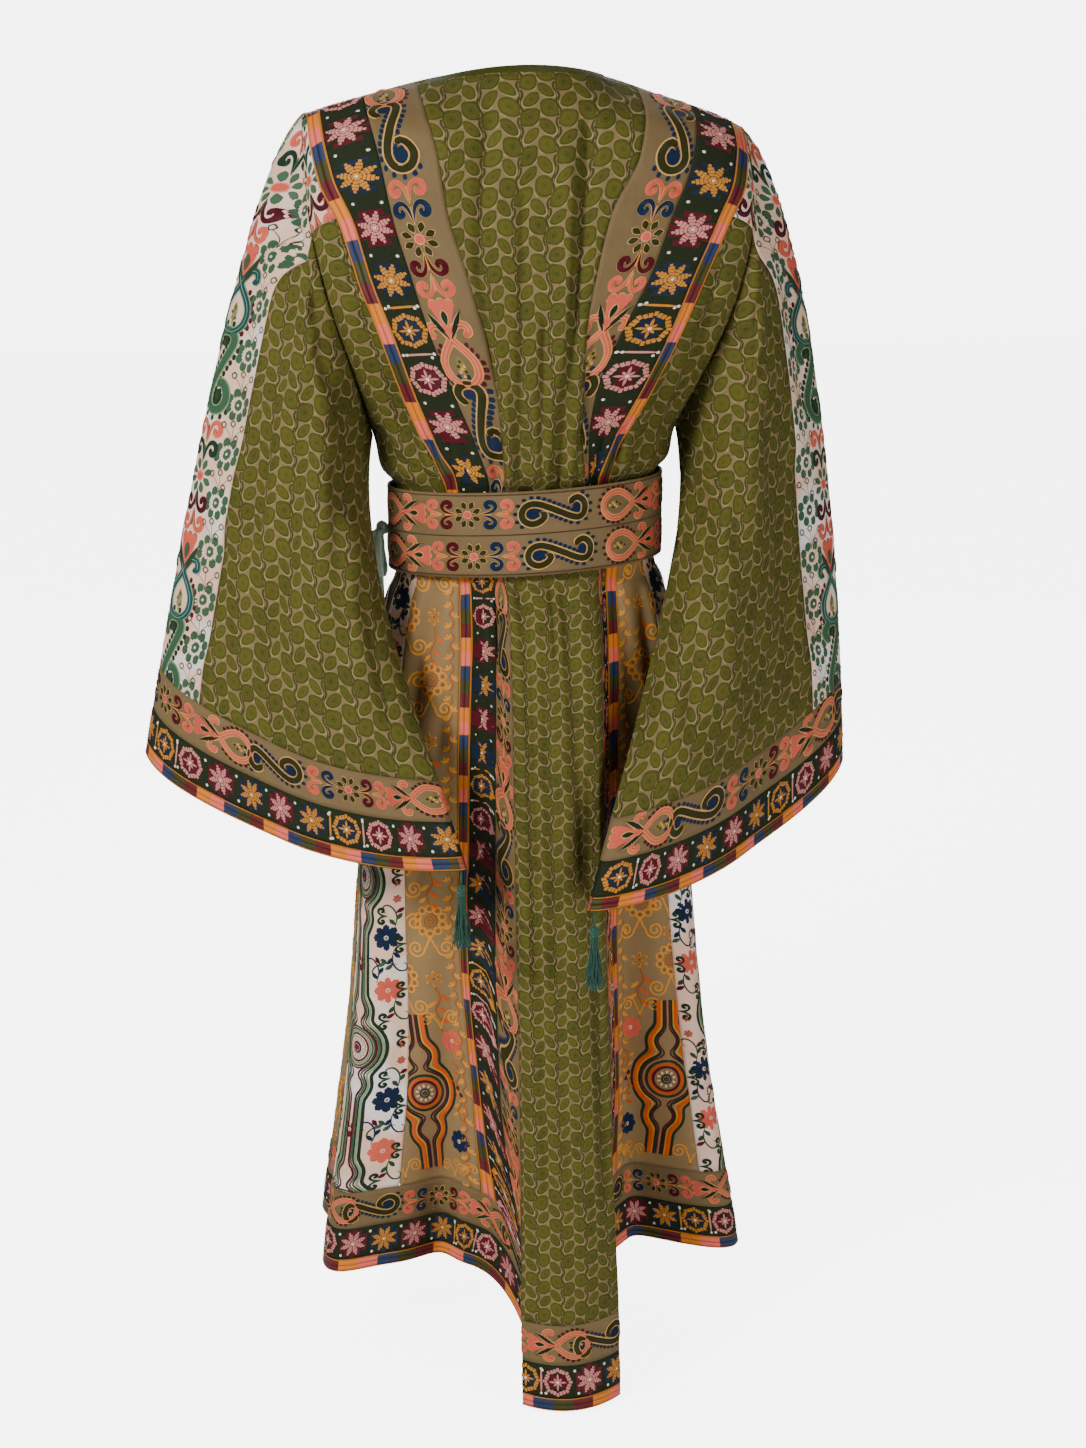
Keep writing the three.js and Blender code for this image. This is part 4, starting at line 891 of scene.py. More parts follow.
keep(body_panel("front_skirt_cloth", lambda row: side_seam("flower_right", row), front_end,
                WAIST_ROW + SKIRT_GAP, HEM_ROW, back=False, to_hem=True, creases=["front"]),
     "gold_cloth", "front_skirt")
print(len(CLOTHS), "panels of the body")

# %% [markdown]
# ## The border of the hem
# Three ribbons run all round the hem, one under the other. Each is one closed tube whose edges lie at a
# fixed distance above the hem's own line.

# %% The hem's ribbons
HEM_COLUMNS, CUFF_COLUMNS, BELT_COLUMNS, BELT_ROWS = 420, 190, 180, 16
BORDER_PLAN = {
    "scroll": (BORDER, BORDER - RIBBON["scroll"] + SEAM),
    "star": (BORDER - RIBBON["scroll"], RIBBON["stripe"] + SEAM),
    "stripe": (RIBBON["stripe"], 0),
}


def whole_body(angle, row):
    """The body on the back or the front, as the angle says."""
    return np.where((np.cos(angle) >= 0)[..., None], body(angle, row, True), body(angle, row, False))


def even_round(line, count):
    """Angles from minus to plus half a turn that are evenly spaced along a closed line."""
    fine = np.linspace(-np.pi, np.pi, 3000)
    points = line(fine)
    length = np.concatenate([[0], np.cumsum(np.linalg.norm(np.diff(points, axis=0), axis=-1))])
    return np.interp(np.linspace(0, length[-1], count + 1), length, fine), length[-1]


hem_angles, hem_length = even_round(lambda a: whole_body(a, row_above_hem(a, BORDER / 2)), HEM_COLUMNS)
for kind, (high, low) in BORDER_PLAN.items():
    count = max(2, int(round((high - low) / GRID)))
    distance = np.linspace(high, low, count + 1)[:, None]
    angle = np.broadcast_to(hem_angles, (count + 1, len(hem_angles)))
    points = whole_body(angle, row_above_hem(angle, distance))
    keep(Cloth(f"hem_{kind}_cloth", points, closed=True, width=hem_length), f"{kind}_ribbon",
         f"hem_{kind}_back", f"hem_{kind}_front")
print("hem", round(hem_length), "mm round")

# %% [markdown]
# ## The sleeves' panels and cuffs
# The flowered top and the plain green under panel share the drifting seam at the back of each sleeve and a
# straight one at its front. The three ribbons close each cuff.

# %% Sleeve panels
SEAM_GIRTH = 0.0004
SLEEVE_ROUND = 780  # turns a panel's share of the girth into millimetres, to count its columns
GRAIN = {"armhole": (0.3, 0.1), "cuff": (0.33, 0.97)}  # two places on a grain line: girth and along
CUFF_BLOCKS = 0.78  # the stripe's blocks are shorter on the cuffs
SLEEVE_LEAVES = 1.22  # and the leaves larger on the sleeves


def sleeve_panel(name, sleeve, start, end, **more):
    """Columns are grain lines between two seams, and rows run from the armhole to the cuff's border."""
    columns = int(round((end - start) * SLEEVE_ROUND / GRID))
    girth = np.linspace(start, end, columns + 1)[None, :]
    inset = SEAM_GIRTH * (1 - 2 * np.linspace(0, 1, columns + 1))[None, :]
    last = along_above_cuff(sleeve, drifted(girth, 1.0) + inset, BORDER + SEAM)
    middle = (start + end) / 2
    share = rows_by_length(lambda t: sleeve_point(sleeve, drifted(middle, t), t), 0, 1, GRID)[:, None]
    along = share * last
    points = sleeve_point(sleeve, drifted(girth, along) + inset, along)
    if sleeve["side"] < 0:
        points = points[:, ::-1]
    grain = sleeve_point(sleeve, *GRAIN["cuff"]) - sleeve_point(sleeve, *GRAIN["armhole"])
    return Cloth(name, points, grain=grain, **more)


for side, sleeve in SLEEVES.items():
    start, end = SLEEVE_SEAM["back"], SLEEVE_SEAM["front"]
    keep(sleeve_panel(f"sleeve_top_cloth_{side}", sleeve, start, end, creases=[f"sleeve_{side}"],
                      anchor=1.0 if side == "left" else 0.0),
         "flower_cloth", f"sleeve_top_{side}")
    under = sleeve_panel(f"sleeve_under_cloth_{side}", sleeve, end - 1, start, creases=[f"sleeve_{side}"])
    keep(under, "leaf_cloth", f"sleeve_under_{side}")
    under.flat = under.flat / SLEEVE_LEAVES
    turns, _ = even_round(lambda a, sleeve=sleeve: cuff_edge(sleeve, a / (2 * np.pi) + 0.5), CUFF_COLUMNS)
    round_cuff = turns / (2 * np.pi) + 0.5
    if side == "left":
        round_cuff = round_cuff[::-1]
    for kind, (high, low) in BORDER_PLAN.items():
        count = max(2, int(round((high - low) / GRID)))
        distance = np.linspace(high, low, count + 1)[:, None]
        girth = np.broadcast_to(round_cuff, (count + 1, len(round_cuff)))
        points = sleeve_point(sleeve, girth, along_above_cuff(sleeve, girth, distance))
        length = float(np.linalg.norm(np.diff(points[-1], axis=0), axis=-1).sum())
        shown = length / (CUFF_BLOCKS if kind == "stripe" else 1)
        keep(Cloth(f"cuff_{kind}_cloth_{side}", points, closed=True, width=shown), f"{kind}_ribbon",
             f"cuff_{kind}_{side}")
print(len(CLOTHS), "panels in all, cuff", round(length), "mm round")

# %% [markdown]
# ## The belt
# A broad stiff belt of two rows of the scroll ribbon. It is an oval band that sits a little higher on the
# right hip.

# %% The belt's cloth
def belt_point(angle, share):
    depth = np.where(np.cos(angle) > 0, BELT["back"], BELT["front"])
    x = BELT["half"] * np.sin(angle)
    z = BELT["middle"] + BELT["height"] * (0.5 - share) + WAIST_TILT["rise"] * x
    return xyz(x, -depth * np.cos(angle), z)


belt_angles, _ = even_round(lambda angle: belt_point(angle, 0.5), BELT_COLUMNS)
belt_grid = belt_point(*np.broadcast_arrays(belt_angles, np.linspace(0, 1, BELT_ROWS + 1)[:, None]))
belt_cloth = Cloth("belt_cloth", belt_grid, closed=True)
belt_cloth.points = belt_cloth.points + belt_cloth.normals * BELT["wall"]
keep(belt_cloth, "scroll_ribbon", "belt")
print("belt", round(float(belt_cloth.width[0])), "mm round")

# %% [markdown]
# ## Finishes
# A finish is worked out with ordinary Python expressions: the small class below wraps a node's output, and
# its operators add Math nodes. Every pattern reads the flat cut, so it is in metres and follows the cloth.

# %% Writing shader maths
FINISHES = {}


class Value:
    """A number that varies over the surface: one output socket with Python's operators."""

    def __init__(self, finish, socket):
        self.finish, self.socket = finish, socket

    def math(self, operation, *others):
        return self.finish.node("ShaderNodeMath", {"operation": operation}, dict(enumerate([self, *others])))

    def __add__(self, other):
        return self.math("ADD", other)

    def __sub__(self, other):
        return self.math("SUBTRACT", other)

    def __rsub__(self, other):
        return (self * -1) + other

    def __mul__(self, other):
        return self.math("MULTIPLY", other)

    def __truediv__(self, other):
        return self.math("DIVIDE", other)

    def __mod__(self, other):
        return self.math("FLOORED_MODULO", other)

    def __pow__(self, other):
        return self.math("POWER", other)

    def __abs__(self):
        return self.math("ABSOLUTE")

    __radd__, __rmul__ = __add__, __mul__

    def sin(self):
        return self.math("SINE")

    def floor(self):
        return self.math("FLOOR")

    def between(self, low, high):
        """0 below low, 1 above high, eased between them."""
        ends = {"Value": self, "From Min": low, "From Max": high}
        return self.finish.node("ShaderNodeMapRange", {"interpolation_type": "SMOOTHSTEP"}, ends)


class Finish:
    """A material and its nodes. What varies goes to the sockets of its Principled shader."""

    def __init__(self, name, **constants):
        self.material = bpy.data.materials.new(name)
        self.material.use_nodes = True
        self.tree = self.material.node_tree
        self.shader = self.tree.nodes["Principled BSDF"]
        FINISHES[name] = self
        for socket, value in {"Specular_IOR_Level": 0.2, **constants}.items():
            self.shader.inputs[socket.replace("_", " ")].default_value = value

    def node(self, kind, settings=None, inputs=None, output=0):
        """Any node: its type, its settings first, then the values or links of its sockets."""
        node = self.tree.nodes.new(kind)
        for name, value in (settings or {}).items():
            setattr(node, name, value)
        for name, value in (inputs or {}).items():
            if isinstance(value, Value):
                self.tree.links.new(value.socket, node.inputs[name])
            else:
                node.inputs[name].default_value = value
        return Value(self, node.outputs[output])

    def flat_cut(self, scale=1.0):
        """x across and y down the flat cut, in metres over the scale."""
        uv = self.node("ShaderNodeUVMap", {"uv_map": "flat_cut"})
        apart = self.node("ShaderNodeSeparateXYZ", {}, {0: uv})
        y = Value(self, apart.socket.node.outputs[1])
        return apart / scale, y / scale

    def noise(self, size, detail=2.0, stretch=(1, 1, 1)):
        """Soft noise whose blotches are about size metres across."""
        place = self.node("ShaderNodeTexCoord", {}, {}, "Object")
        scale = tuple(s / size for s in stretch)
        mapped = self.node("ShaderNodeMapping", {}, {"Vector": place, "Scale": scale})
        return self.node("ShaderNodeTexNoise", {}, {"Vector": mapped, "Scale": 1.0, "Detail": detail})

    def paint(self, mask, under, over):
        """A colour where the mask is 0 and another where it is 1."""
        return self.node("ShaderNodeMix", {"data_type": "RGBA"}, {0: mask, 6: under, 7: over}, 2)

    def colour(self, value):
        self.tree.links.new(value.socket, self.shader.inputs["Base Color"])

    def raised(self, height, distance):
        """Bump from a height of 0 to 1, in metres."""
        bump = self.node("ShaderNodeBump", {}, {"Height": height, "Distance": distance, "Strength": 1.0})
        self.tree.links.new(bump.socket, self.shader.inputs["Normal"])


def dye(text):
    """A colour from its usual six-digit form, in linear light."""
    parts = [int(text[k : k + 2], 16) / 255 for k in (0, 2, 4)]
    return tuple(p / 12.92 if p <= 0.04045 else ((p + 0.055) / 1.055) ** 2.4 for p in parts) + (1.0,)



# %% [markdown]
# ### The green leaf cloth
# The cloth is covered with leaves worked in chain stitch on a taupe ground. A wavy stem runs down every
# column. Leaves leave it in turn on its left and, half a row lower, on its right, and large round ones take
# turns with small ones. The distance from a leaf's centre gives its edge, the rings of its stitches and a
# pale crescent on the side of the stem. White noise gives each leaf its own green.

# %% Leaf cloth
COLUMN, ROW = 32.0, 16.7  # millimetres from stem to stem and from leaf to leaf
LARGE_LEAF = {"x": 7.7, "across": 8.8, "down": 8.9, "power": 2.3, "lean": -0.18}
SMALL_LEAF = {"x": 9.4, "across": 6.4, "down": 7.3, "power": 2.2, "lean": -0.5}
leaf = Finish("leaf_cloth", Roughness=0.85)
x, y = leaf.flat_cut(MM)
x = x + (leaf.noise(0.05, 1) - 0.5) * 8
y = y + (leaf.noise(0.055, 1, (1.3, 1, 1)) - 0.5) * 8
column = (x / COLUMN).floor()
from_stem = x - (column + 0.5) * COLUMN
on_right = from_stem.between(-0.001, 0.001)
y = y + on_right * (ROW / 2)
row = (y / ROW).floor()
x_in, y_in = abs(from_stem), y - (row + 0.5) * ROW
place = leaf.node("ShaderNodeCombineXYZ", {}, {0: column, 1: row, 2: on_right})
chance = leaf.node("ShaderNodeTexWhiteNoise", {"noise_dimensions": "3D"}, {"Vector": place})


def leaf_distance(plan):
    """The superellipse distance from the leaf's centre: 1 on its edge."""
    across = (abs(x_in - y_in * plan["lean"] - plan["x"]) / plan["across"]) ** plan["power"]
    return (across + (abs(y_in) / plan["down"]) ** plan["power"]) ** (1 / plan["power"])


is_small = (row + on_right) % 2
near = leaf_distance(LARGE_LEAF) * (1 - is_small) + leaf_distance(SMALL_LEAF) * is_small + chance * 0.1
on_leaf = 1 - near.between(0.95, 1.04)
stem_x = (y * (2 * math.pi / ROW)).sin() * 1.2 + 0.8
on_stem = 1 - abs(x_in - stem_x).between(0.6, 1.4)
crescent = near.between(1.03, 1.08) * (1 - near.between(1.16, 1.24)) * (y_in - x_in * 0.3).between(-2.0, 3.0)
centre = 1 - near.between(0.0, 0.45)
swirl = (near * 22 + (x_in + y_in) * 0.35).sin() * 0.5 + 0.5
flecks = leaf.noise(0.0011, 2)
green = leaf.paint(chance, dye("2b2e08"), dye("46460c"))
green = leaf.paint(swirl * 0.18 + flecks * 0.6, green, dye("6b6628"))
green = leaf.paint((centre + near.between(0.7, 1.0)) * 0.4, green, dye("171904"))
ground = leaf.paint(leaf.noise(0.012, 2), dye("6b5a38"), dye("82724a"))
ground = leaf.paint(on_stem * 0.85, ground, dye("2a2d06"))
ground = leaf.paint(crescent * 0.5, ground, dye("a89a62"))
leaf.colour(leaf.paint(on_leaf, ground, green))
leaf.raised(on_leaf * (1 - near * near * 0.3) + swirl * on_leaf * 0.12 + flecks * 0.15 + on_stem * 0.35
            + crescent * 0.45, 0.0008)
print("leaf cloth:", len(leaf.tree.nodes), "nodes")

# %% [markdown]
# ### The three ribbons and the two other cloths
# The scroll ribbon is a taupe twill with a stitched edge. The star ribbon is a coarse dark green weave. The
# stripe ribbon is satin in five colours with two ribs. The gold cloth is a warm taupe twill, and the
# flowered cloth a blush and white one.

# %% Ribbon grounds
THREAD_PITCH = 0.9  # millimetres between the threads of a fine weave


def twill(x, y):
    """Diagonal ribs of a twill, 0 to 1."""
    return ((x + y) * (2 * math.pi / THREAD_PITCH)).sin() * 0.5 + 0.5


scroll = Finish("scroll_ribbon", Roughness=0.62)
x, y = scroll.flat_cut(MM)
ribs = twill(x, y)
base = scroll.paint(scroll.noise(0.04, 3), dye("6a5433"), dye("7f6743"))
base = scroll.paint(scroll.noise(0.006, 2, (1, 1, 0.4)) * 0.35, base, dye("574a30"))
scroll.colour(scroll.paint(ribs * 0.12, base, dye("a89870")))
scroll.raised(ribs * 0.15 + scroll.noise(0.012, 2, (1, 1, 0.35)) * 0.8, 0.0009)

star = Finish("star_ribbon", Roughness=0.9)
x, y = star.flat_cut(MM)
weave = (x * (2 * math.pi / 1.7)).sin() * (y * (2 * math.pi / 1.7)).sin() * 0.5 + 0.5
base = star.paint(star.noise(0.02, 2), dye("0a1208"), dye("182110"))
star.colour(star.paint(weave * 0.3 + star.noise(0.002, 1) * 0.25, base, dye("3c4528")))
star.raised(weave, 0.0005)

STRIPE_PERIOD = 117.0
STRIPE_COLOURS = ["5a0318", "e07a1c", "ee6a58", "0d2b52", "33350a"]
stripe = Finish("stripe_ribbon", Roughness=0.42)
x, y = stripe.flat_cut(MM)
phase = (y % STRIPE_PERIOD) / STRIPE_PERIOD
blocks = dye(STRIPE_COLOURS[0])
for k, colour in enumerate(STRIPE_COLOURS[1:], 1):
    edge = k / len(STRIPE_COLOURS)
    blocks = stripe.paint(phase.between(edge - 0.006, edge + 0.006), blocks, dye(colour))
threads = (y * (2 * math.pi / 0.8)).sin() * 0.5 + 0.5
ridge = abs((x * (math.pi / 8)).sin())
# painted shade: the blocks darken towards near-black in the grooves at the edges and between the two ribs
blocks_with_painted_shade = stripe.paint((1 - ridge) ** 5 * 0.6, blocks, dye("1a0d0a"))
# painted highlight: pale thread lines appear only on the crests of the ribs, as their satin sheen
stripe.colour(stripe.paint(threads * 0.05 * ridge, blocks_with_painted_shade, dye("ffd9b0")))
stripe.raised(ridge ** 0.6 + threads * 0.1, 0.0012)
print("ribbons:", [len(ribbon.tree.nodes) for ribbon in (scroll, star, stripe)], "nodes")

# %% Gold cloth and flowered cloth
gold = Finish("gold_cloth", Roughness=0.62)
x, y = gold.flat_cut(MM)
ribs = twill(x, y)
base = gold.paint(gold.noise(0.05, 3), dye("7a6140"), dye("967b52"))
gold.colour(gold.paint(ribs * 0.2 + gold.noise(0.003, 1) * 0.2, base, dye("b5945f")))
gold.raised(ribs * 0.2 + gold.noise(0.015, 2, (1, 1, 0.4)) * 0.7, 0.0009)

flower = Finish("flower_cloth", Roughness=0.6)
x, y = flower.flat_cut(MM)
ribs = twill(x, y)
base = flower.paint(flower.noise(0.07, 2).between(0.46, 0.68), dye("f6cbb0"), dye("fdf3ee"))
flower.colour(flower.paint(ribs * 0.1, base, dye("d8ac90")))
flower.raised(ribs * 0.2 + flower.noise(0.02, 2, (1, 1, 0.4)) * 0.8, 0.0009)

# %% [markdown]
# ## Needlework
# All embroidery is built from one shape: a stroke, which is a path with a width that may change along it.
# A petal is a short stroke that is wide in its middle, a dot is a very short one, a stem is a long thin
# one. Its middle stands a little above its edges, as padded satin stitch does. Strokes on a higher level
# lie over those on a lower one, so an outline is a wide light stroke under a narrower dark one.

# %% Strokes
LEVEL_STEP, STITCH_HEIGHT, SUNK = 0.4, 0.55, 0.15  # millimetres


def curve(points, count):
    """Catmull-Rom through points, at evenly spread parameters."""
    p = np.array(points, float)
    p = np.concatenate([2 * p[:1] - p[1:2], p, 2 * p[-1:] - p[-2:-1]])
    spans = len(p) - 3
    t = np.linspace(0, spans, count)
    k = np.clip(t.astype(int), 0, spans - 1)
    t = (t - k)[:, None]
    a, b, c, d = p[k], p[k + 1], p[k + 2], p[k + 3]
    return 0.5 * (2 * b + (c - a) * t + (2 * a - 5 * b + 4 * c - d) * t**2 + (3 * b - a - 3 * c + d) * t**3)


def almond(count, most, start=0.0, end=0.0, fullest=0.5):
    """Widths that rise from start to most at fullest and fall to end, along half waves."""
    t = np.linspace(0, 1, count)
    rise = start + (most - start) * np.sin(np.pi / 2 * np.clip(t / fullest, 0, 1))
    fall = end + (most - end) * np.cos(np.pi / 2 * np.clip((t - fullest) / (1 - fullest), 0, 1))
    return np.where(t < fullest, rise, fall)


def even(count, most, tip=0.35):
    """One width, rounded off over the last stations at both ends."""
    ends = np.minimum(np.arange(count), np.arange(count)[::-1])
    return most * np.where(ends == 0, tip, np.where(ends == 1, 0.85, 1.0))


class Motif:
    """Needlework on its own flat patch, in millimetres: x to the right, y down."""

    def __init__(self):
        self.flat, self.lift, self.colour, self.stitch, self.faces, self.count = [], [], [], [], [], 0

    def stroke(self, path, width, colour, level=0):
        """Three columns of points: an edge, the raised middle and the other edge."""
        path, width = np.asarray(path, float), np.asarray(width, float)
        way = np.gradient(path, axis=0)
        way /= np.maximum(np.linalg.norm(way, axis=1, keepdims=True), 1e-9)
        side = np.stack([way[:, 1], -way[:, 0]], axis=1) * width[:, None] / 2
        self.flat.append(np.stack([path - side, path, path + side], axis=1).reshape(-1, 2))
        low = level * LEVEL_STEP - (SUNK if level == 0 else 0)
        plump = np.minimum(1, width / 2.2)[:, None] * (level * LEVEL_STEP + STITCH_HEIGHT - low)
        self.lift.append((low + plump * np.array([0, 1, 0])).ravel())
        self.colour.append(np.tile(dye(colour)[:3], (len(path) * 3, 1)))
        steps = np.linalg.norm(np.diff(path, axis=0), axis=1)
        along = np.concatenate([[0], np.cumsum(steps)])[:, None]
        across = width[:, None] / 2 * np.array([-1, 0, 1])
        self.stitch.append(np.stack([np.broadcast_to(along, across.shape), across], axis=-1).reshape(-1, 2))
        self.faces.append(grid_faces(len(path), 3) + self.count)
        self.count += len(path) * 3
        return self

    def petal(self, centre, turn, length, width, colour, level=0, start=0.0, fullest=0.6, count=6):
        """An almond that leaves a point in a direction, in degrees from straight down."""
        way = np.array([math.sin(math.radians(turn)), math.cos(math.radians(turn))])
        path = np.array(centre, float) + way * np.linspace(start, start + length, count)[:, None]
        return self.stroke(path, almond(count, width, fullest=fullest), colour, level)

    def dot(self, centre, size, colour, level=0, tall=1.0):
        """A round spot: a short stroke with a half circle's widths."""
        t = np.array([-1.0, -0.85, -0.4, 0.4, 0.85, 1.0])
        path = np.array(centre, float) + np.stack([0 * t, t * size / 2 * tall], axis=1)
        return self.stroke(path, size * np.sqrt(np.clip(1 - t * t, 0.001, 1)), colour, level)

    def join(self, other, mirror=False):
        """Adds another motif. mirror turns it left to right."""
        self.flat += [flat * (-1, 1) if mirror else flat for flat in other.flat]
        self.lift += other.lift
        self.colour += other.colour
        self.stitch += other.stitch
        self.faces += [(faces[:, ::-1] if mirror else faces) + self.count for faces in other.faces]
        self.count += other.count
        return self

    def mirrored(self):
        return Motif().join(self, mirror=True)

    def arrays(self):
        parts = (self.flat, self.lift, self.colour, self.stitch, self.faces)
        return [np.concatenate(part) for part in parts]


def beads_along(motif, path, gap, offset, size, colour, sides=(1, -1), level=0):
    """Dots beside a path, at even distances, on one or both of its sides."""
    path = np.asarray(path, float)
    steps = np.linalg.norm(np.diff(path, axis=0), axis=1)
    length = np.concatenate([[0], np.cumsum(steps)])
    count = max(2, int(length[-1] / gap) + 1)
    at = np.linspace(0, length[-1], count)
    spots = np.stack([np.interp(at, length, path[:, k]) for k in (0, 1)], axis=1)
    way = np.gradient(spots, axis=0)
    way /= np.linalg.norm(way, axis=1, keepdims=True)
    for side in sides:
        for spot in spots + side * offset * np.stack([way[:, 1], -way[:, 0]], axis=1):
            motif.dot(spot, size, colour, level)
    return motif


NEEDLEWORK = {}


class Needlework:
    """All the needlework of one panel, laid out on its flat cut and carried onto its folds."""

    def __init__(self, cloth_name):
        self.name = cloth_name.replace("cloth", "needlework")
        self.cloth = CLOTHS[cloth_name]["cloth"]
        self.parts, self.count = [], 0

    def add(self, motif, places, turns=0.0, scales=1.0):
        """Copies of a motif at places on the flat cut, each with its turn in degrees and its scale."""
        flat, lift, colour, stitch, faces = motif.arrays()
        places = np.atleast_2d(np.array(places, float))
        turns = np.radians(np.broadcast_to(turns, len(places)))[:, None]
        scales = np.broadcast_to(scales, len(places))[:, None]
        x, y = flat[None, :, 0] * scales, flat[None, :, 1] * scales
        c, s = np.cos(turns), np.sin(turns)
        laid = np.stack([x * c - y * s + places[:, :1], x * s + y * c + places[:, 1:]], axis=-1)
        copies = len(places)
        shade = 1 + 0.12 * (np.random.default_rng(self.count).random((copies, 1, 1)) - 0.5)
        numbered = faces[None] + (np.arange(copies) * len(flat))[:, None, None] + self.count
        self.parts.append((laid.reshape(-1, 2), np.tile(lift, copies), (colour[None] * shade).reshape(-1, 3),
                           np.tile(stitch, (copies, 1)), numbered.reshape(-1, 4)))
        self.count += copies * len(flat)
        return self

    def make(self, slot):
        """One mesh of all copies. What falls outside the panel is cut off at its seam."""
        flat, lift, colour, stitch, faces = (np.concatenate(part) for part in zip(*self.parts))
        points, inside = self.cloth.place(flat, lift)
        faces = faces[inside[faces].sum(axis=1) >= 2]
        used, faces = np.unique(faces, return_inverse=True)
        made = make_object(self.name, points[used] * MM, faces.reshape(-1, 4))
        set_uv(made, "stitch", stitch[used] * MM)
        thread = made.data.color_attributes.new("thread", "FLOAT_COLOR", "POINT")
        rgba = np.concatenate([colour[used], np.ones((len(used), 1))], axis=1)
        thread.data.foreach_set("color", rgba.astype(np.float32).ravel())
        put_up(made, "thread", slot)
        NEEDLEWORK.setdefault(self.cloth.name, []).append(made)
        print(f"{self.name}: {len(faces)} faces")
        return made


# %% Embroidery thread
thread = Finish("thread", Roughness=0.55)
uv = thread.node("ShaderNodeUVMap", {"uv_map": "stitch"})
apart = thread.node("ShaderNodeSeparateXYZ", {}, {0: uv})
along, across = apart / MM, Value(thread, apart.socket.node.outputs[1]) / MM
stitches = ((along + across * 0.7) * (2 * math.pi / 1.1)).sin() * 0.5 + 0.5
dyed = thread.node("ShaderNodeVertexColor", {"layer_name": "thread"})
# painted highlight and shade: a lighter and a darker copy of each thread's dye follow the stitches, light on
# their raised crests and dark between them, while the noise adds random tone
painted_stitch_highlight = thread.node("ShaderNodeMix", {"data_type": "RGBA", "blend_type": "MULTIPLY"},
                      {0: 1.0, 6: dyed, 7: (1.45, 1.42, 1.38, 1)}, 2)
painted_stitch_shade = thread.node("ShaderNodeMix", {"data_type": "RGBA", "blend_type": "MULTIPLY"},
                     {0: 1.0, 6: dyed, 7: (0.62, 0.6, 0.6, 1)}, 2)
thread.colour(thread.paint(stitches * 0.55 + thread.noise(0.0015, 2) * 0.5, painted_stitch_shade, painted_stitch_highlight))
thread.raised(stitches, 0.0004)

# %% [markdown]
# ### The scroll ribbon's figures
# Eight figures follow each other down the ribbon: a long S with a scalloped edge, two pairs of curls, a
# flower of eight petals, two more pairs of curls, a tulip and a paisley. Each is drawn once and laid often.

# %% Figures of the scroll ribbon
CREAM, PINK, MAROON, NAVY, OLIVE, GOLD = "d9a760", "e0614d", "4f0312", "0c2442", "2f300c", "cb7c28"
DARK_GREEN, SALMON_LIGHT = "10251c", "eb8f78"


def long_s(band, edge, dots, heart):
    """A double hook: a wide light path under a narrower dark one, dots along both its sides."""
    motif = Motif()
    hook = [(-8.5, -23), (-14, -27), (-16, -34), (-11, -41), (-3, -43.5), (6, -41), (9.5, -34), (7, -24),
            (1, -11), (-4, 0), (-9, 12), (-11.5, 24), (-8, 34), (1, 38.5), (10, 35), (14.5, 25), (11, 14),
            (4, 9), (0, 14)]
    path = curve(hook, 50)
    motif.dot((-4, -32), 11, heart).dot((1.5, 24), 12, heart, tall=1.3)
    beads_along(motif, path[5:40], 6.6, 8.0, 6.4, dots, sides=(-1,))
    beads_along(motif, path[6:44], 6.6, 8.0, 6.4, dots, sides=(1,))
    motif.stroke(path, even(50, 11.0), edge, 1)
    motif.stroke(path, even(50, 7.8), band, 2)
    return motif


def curls(colour, edge, stem="d8964a"):
    """A pair of comma curls that leave one stem to the left and right."""
    half = Motif()
    comma = [(0.5, 13), (2, 4), (5, -3), (10, -6), (15, -3), (16, 3), (12.5, 6.5), (9, 4), (10, 0.5)]
    path = curve(comma, 24)
    widths = almond(24, 6.4, 1.2, 3.2, 0.7)
    half.stroke(path, widths + 2.2, edge, 0)
    half.stroke(path, widths, colour, 1)
    both = Motif().join(half).join(half, mirror=True)
    both.stroke([(0, -2), (0, 4), (0, 10), (0, 16)], [1.4, 2.2, 2.4, 1.4], stem, 1)
    return both


def eight_petals(petal, edge, heart, heart_edge, reach=19.5, width=9.6):
    """Eight outlined petals round a heart."""
    motif = Motif()
    for k in range(8):
        turn = 45 * k + 22.5
        motif.petal((0, 0), turn, reach - 5.5, width, edge, 0, start=5.5, fullest=0.58)
        motif.petal((0, 0), turn, reach - 8.5, width - 3.0, petal, 1, start=7.0, fullest=0.58)
    motif.dot((0, 0), 11.5, heart_edge, 1)
    motif.dot((0, 0), 8.5, heart, 2)
    return motif


def tulip(cup, edge, seed, leaf_colour):
    """A fan with three lobes and a seed in it, between two long leaves."""
    motif = Motif()
    fan = [(0, 17), (0, 8), (0, -2), (0, -10), (0, -14)]
    motif.stroke(fan, [2, 10, 20, 26, 27], edge, 0)
    motif.stroke(fan, [1, 7, 16.5, 22.5, 23.5], cup, 1)
    for x, size in ((-8.5, 9.5), (0, 11), (8.5, 9.5)):
        motif.dot((x, -15), size + 2.6, edge, 0).dot((x, -15), size, cup, 1)
    for side in (-1, 1):
        leaf_path = curve([(0, 22), (side * 6, 12), (side * 12, 1), (side * 17, -9)], 11)
        motif.stroke(leaf_path, almond(11, 7.6), edge, 2)
        motif.stroke(leaf_path, almond(11, 5.0), leaf_colour, 3)
    motif.petal((0, 9), 180, 20, 9.0, edge, 2, fullest=0.62)
    return motif.petal((0, 7), 180, 16, 6.2, seed, 3, fullest=0.62)


